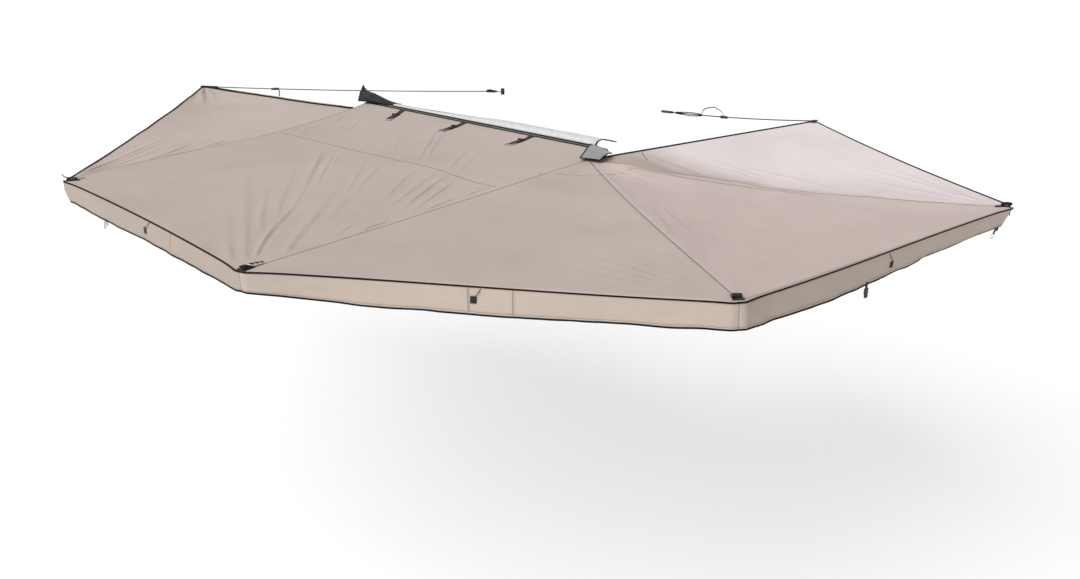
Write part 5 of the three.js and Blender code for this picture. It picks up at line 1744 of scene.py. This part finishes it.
def make_bag_strap(name, at, turn, reach, seed):
    """A strap thrown back over the canopy: webbing, its keeper and a ladder buckle at its end."""
    lean = math.radians(turn)
    origin = np.array([at, PLATE + 2 * GAP + 0.019 * math.sin(lean), 0.0])
    ahead = np.array([-math.sin(lean), math.cos(lean), 0.0])
    aside = np.array([math.cos(lean), math.sin(lean), 0.0])
    track_top = TRACK + 0.0024 + GAP
    plan = [origin + ahead * (s * reach) for s in STRAP_SHARES]
    ground = on_cloth(plan_line(plan, PANELS_OF["side"]), 0.0016)[:, 2]

    def at_share(s, h=0.0):
        z = mix(track_top, np.interp(s, STRAP_SHARES, ground), smooth(s / 0.2))
        return origin + ahead * (s * reach) + np.array([0, 0, z + h])

    path = [at_share(s) + aside * 0.002 * math.sin(5 * s + seed) for s in np.linspace(0.0, 0.97, 40)]
    lifts = [(s, 0.0042 + 0.002 * math.sin(math.pi * (s - 0.45) / 0.5)) for s in np.linspace(0.50, 0.93, 24)]
    back = [at_share(s, lift) for s, lift in lifts]
    middle = at_share(0.52, 0.0026)
    ring = resample([middle + aside * a + np.array([0, 0, b]) for a, b in KEEPER_CORNERS], 0.004)[:-1]
    strap = join(f"{name}_bag_strap", [
        band("band", path, 0.038, 0.0024, 0.0009, "webbing"),
        band("tail", back, 0.034, 0.0022, 0.0009, "webbing"),
        band("keeper", ring, 0.012, 0.0018, 0.0007, "webbing", tuple(ahead), True),
    ])
    bars = [local_box(low, high, 0.0016, looks["steel"]) for low, high in BUCKLE_BARS]
    buckle = place(join(f"{name}_bag_buckle", bars), at_share(1.0, -0.0012), ahead)
    bar = local_box((-0.013, -0.0155, 0.0012), (0.0175, 0.0155, 0.0042), 0.0012, looks["moulding"])
    tongue = place(join(f"{name}_bag_tongue", [bar]), at_share(0.985, 0.0005), ahead)
    for made, slot in ((strap, "black_webbing"), (buckle, "steel"), (tongue, "black_moulding")):
        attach(made, "case")
        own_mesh(made)
    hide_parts(f"bag_strap_{name}")


for name, values in BAG_STRAPS.items():
    make_bag_strap(name, *values)

# CAD nodes keep their shapes and get their finishes
NODE_LOOKS = {
    "back_plate": "alloy", "hub_bracket": "coated", "king_pin": "steel", "king_pin_nut": "steel",
    "rear_mount_bracket": "coated", "middle_mount_bracket": "coated", "front_mount_bracket": "coated",
}
ARM_LOOKS = {
    "arm_knuckle": "cast", "arm_rail": "alloy", "corner_cap": "moulding", "leg_pin": "steel",
    "leg_outer": "alloy", "leg_inner": "alloy", "leg_collar": "moulding", "leg_foot": "rubber",
}
for arm in ORDER:
    NODE_LOOKS.update({f"{arm}_{part}": look for part, look in ARM_LOOKS.items()})
for name, look in NODE_LOOKS.items():
    cad[name].data.materials.clear()
    cad[name].data.materials.append(looks[look])

# Floor and light

FLOOR_HEIGHT, FLOOR_HALF = -1.985, 120.0
FLOOR_GLOW = 0.50
SKY_STRENGTH = 0.34


def make_stage():
    mesh = bpy.data.meshes.new("floor")
    z, s = FLOOR_HEIGHT, FLOOR_HALF
    mesh.from_pydata([(-s, -s, z), (s, -s, z), (s, s, z), (-s, s, z)], [], [(0, 1, 2, 3)])
    n = Nodes("pale_floor", Roughness=0.62, Specular_IOR_Level=0.2)
    soft = n.spots(0.6, 3, 0.5)
    n.link(n.ramp(soft, [(0.3, (0.50, 0.50, 0.50)), (0.7, (0.51, 0.51, 0.51))]), "Base Color")
    n.shader.inputs["Emission Color"].default_value = (1.0, 1.0, 1.0, 1)
    n.shader.inputs["Emission Strength"].default_value = FLOOR_GLOW
    mesh.materials.append(n.material)
    linked("floor", mesh)


def make_sun(name, azimuth, height, wide, power):
    data = bpy.data.lights.new(name, "SUN")
    data.energy = power
    data.angle = math.radians(wide)
    a, h = math.radians(azimuth), math.radians(height)
    toward = Vector((math.cos(a) * math.cos(h), math.sin(a) * math.cos(h), math.sin(h)))
    linked(name, data).rotation_euler = toward.to_track_quat("Z", "Y").to_euler()


def make_lights():
    world = bpy.data.worlds.new("studio")
    world.use_nodes = True
    back = world.node_tree.nodes["Background"]
    back.inputs["Color"].default_value = (1.0, 1.0, 1.0, 1)
    back.inputs["Strength"].default_value = SKY_STRENGTH
    bpy.context.scene.world = world
    make_sun("key", 98, 44, 50, 2.85)
    make_sun("rim", -62, 20, 30, 0.55)


make_stage()
make_lights()
settings = bpy.context.scene.view_settings
settings.view_transform = "Standard"
settings.look = "None"
settings.exposure = 0.0
settings.gamma = 1.0

bpy.context.view_layer.update()
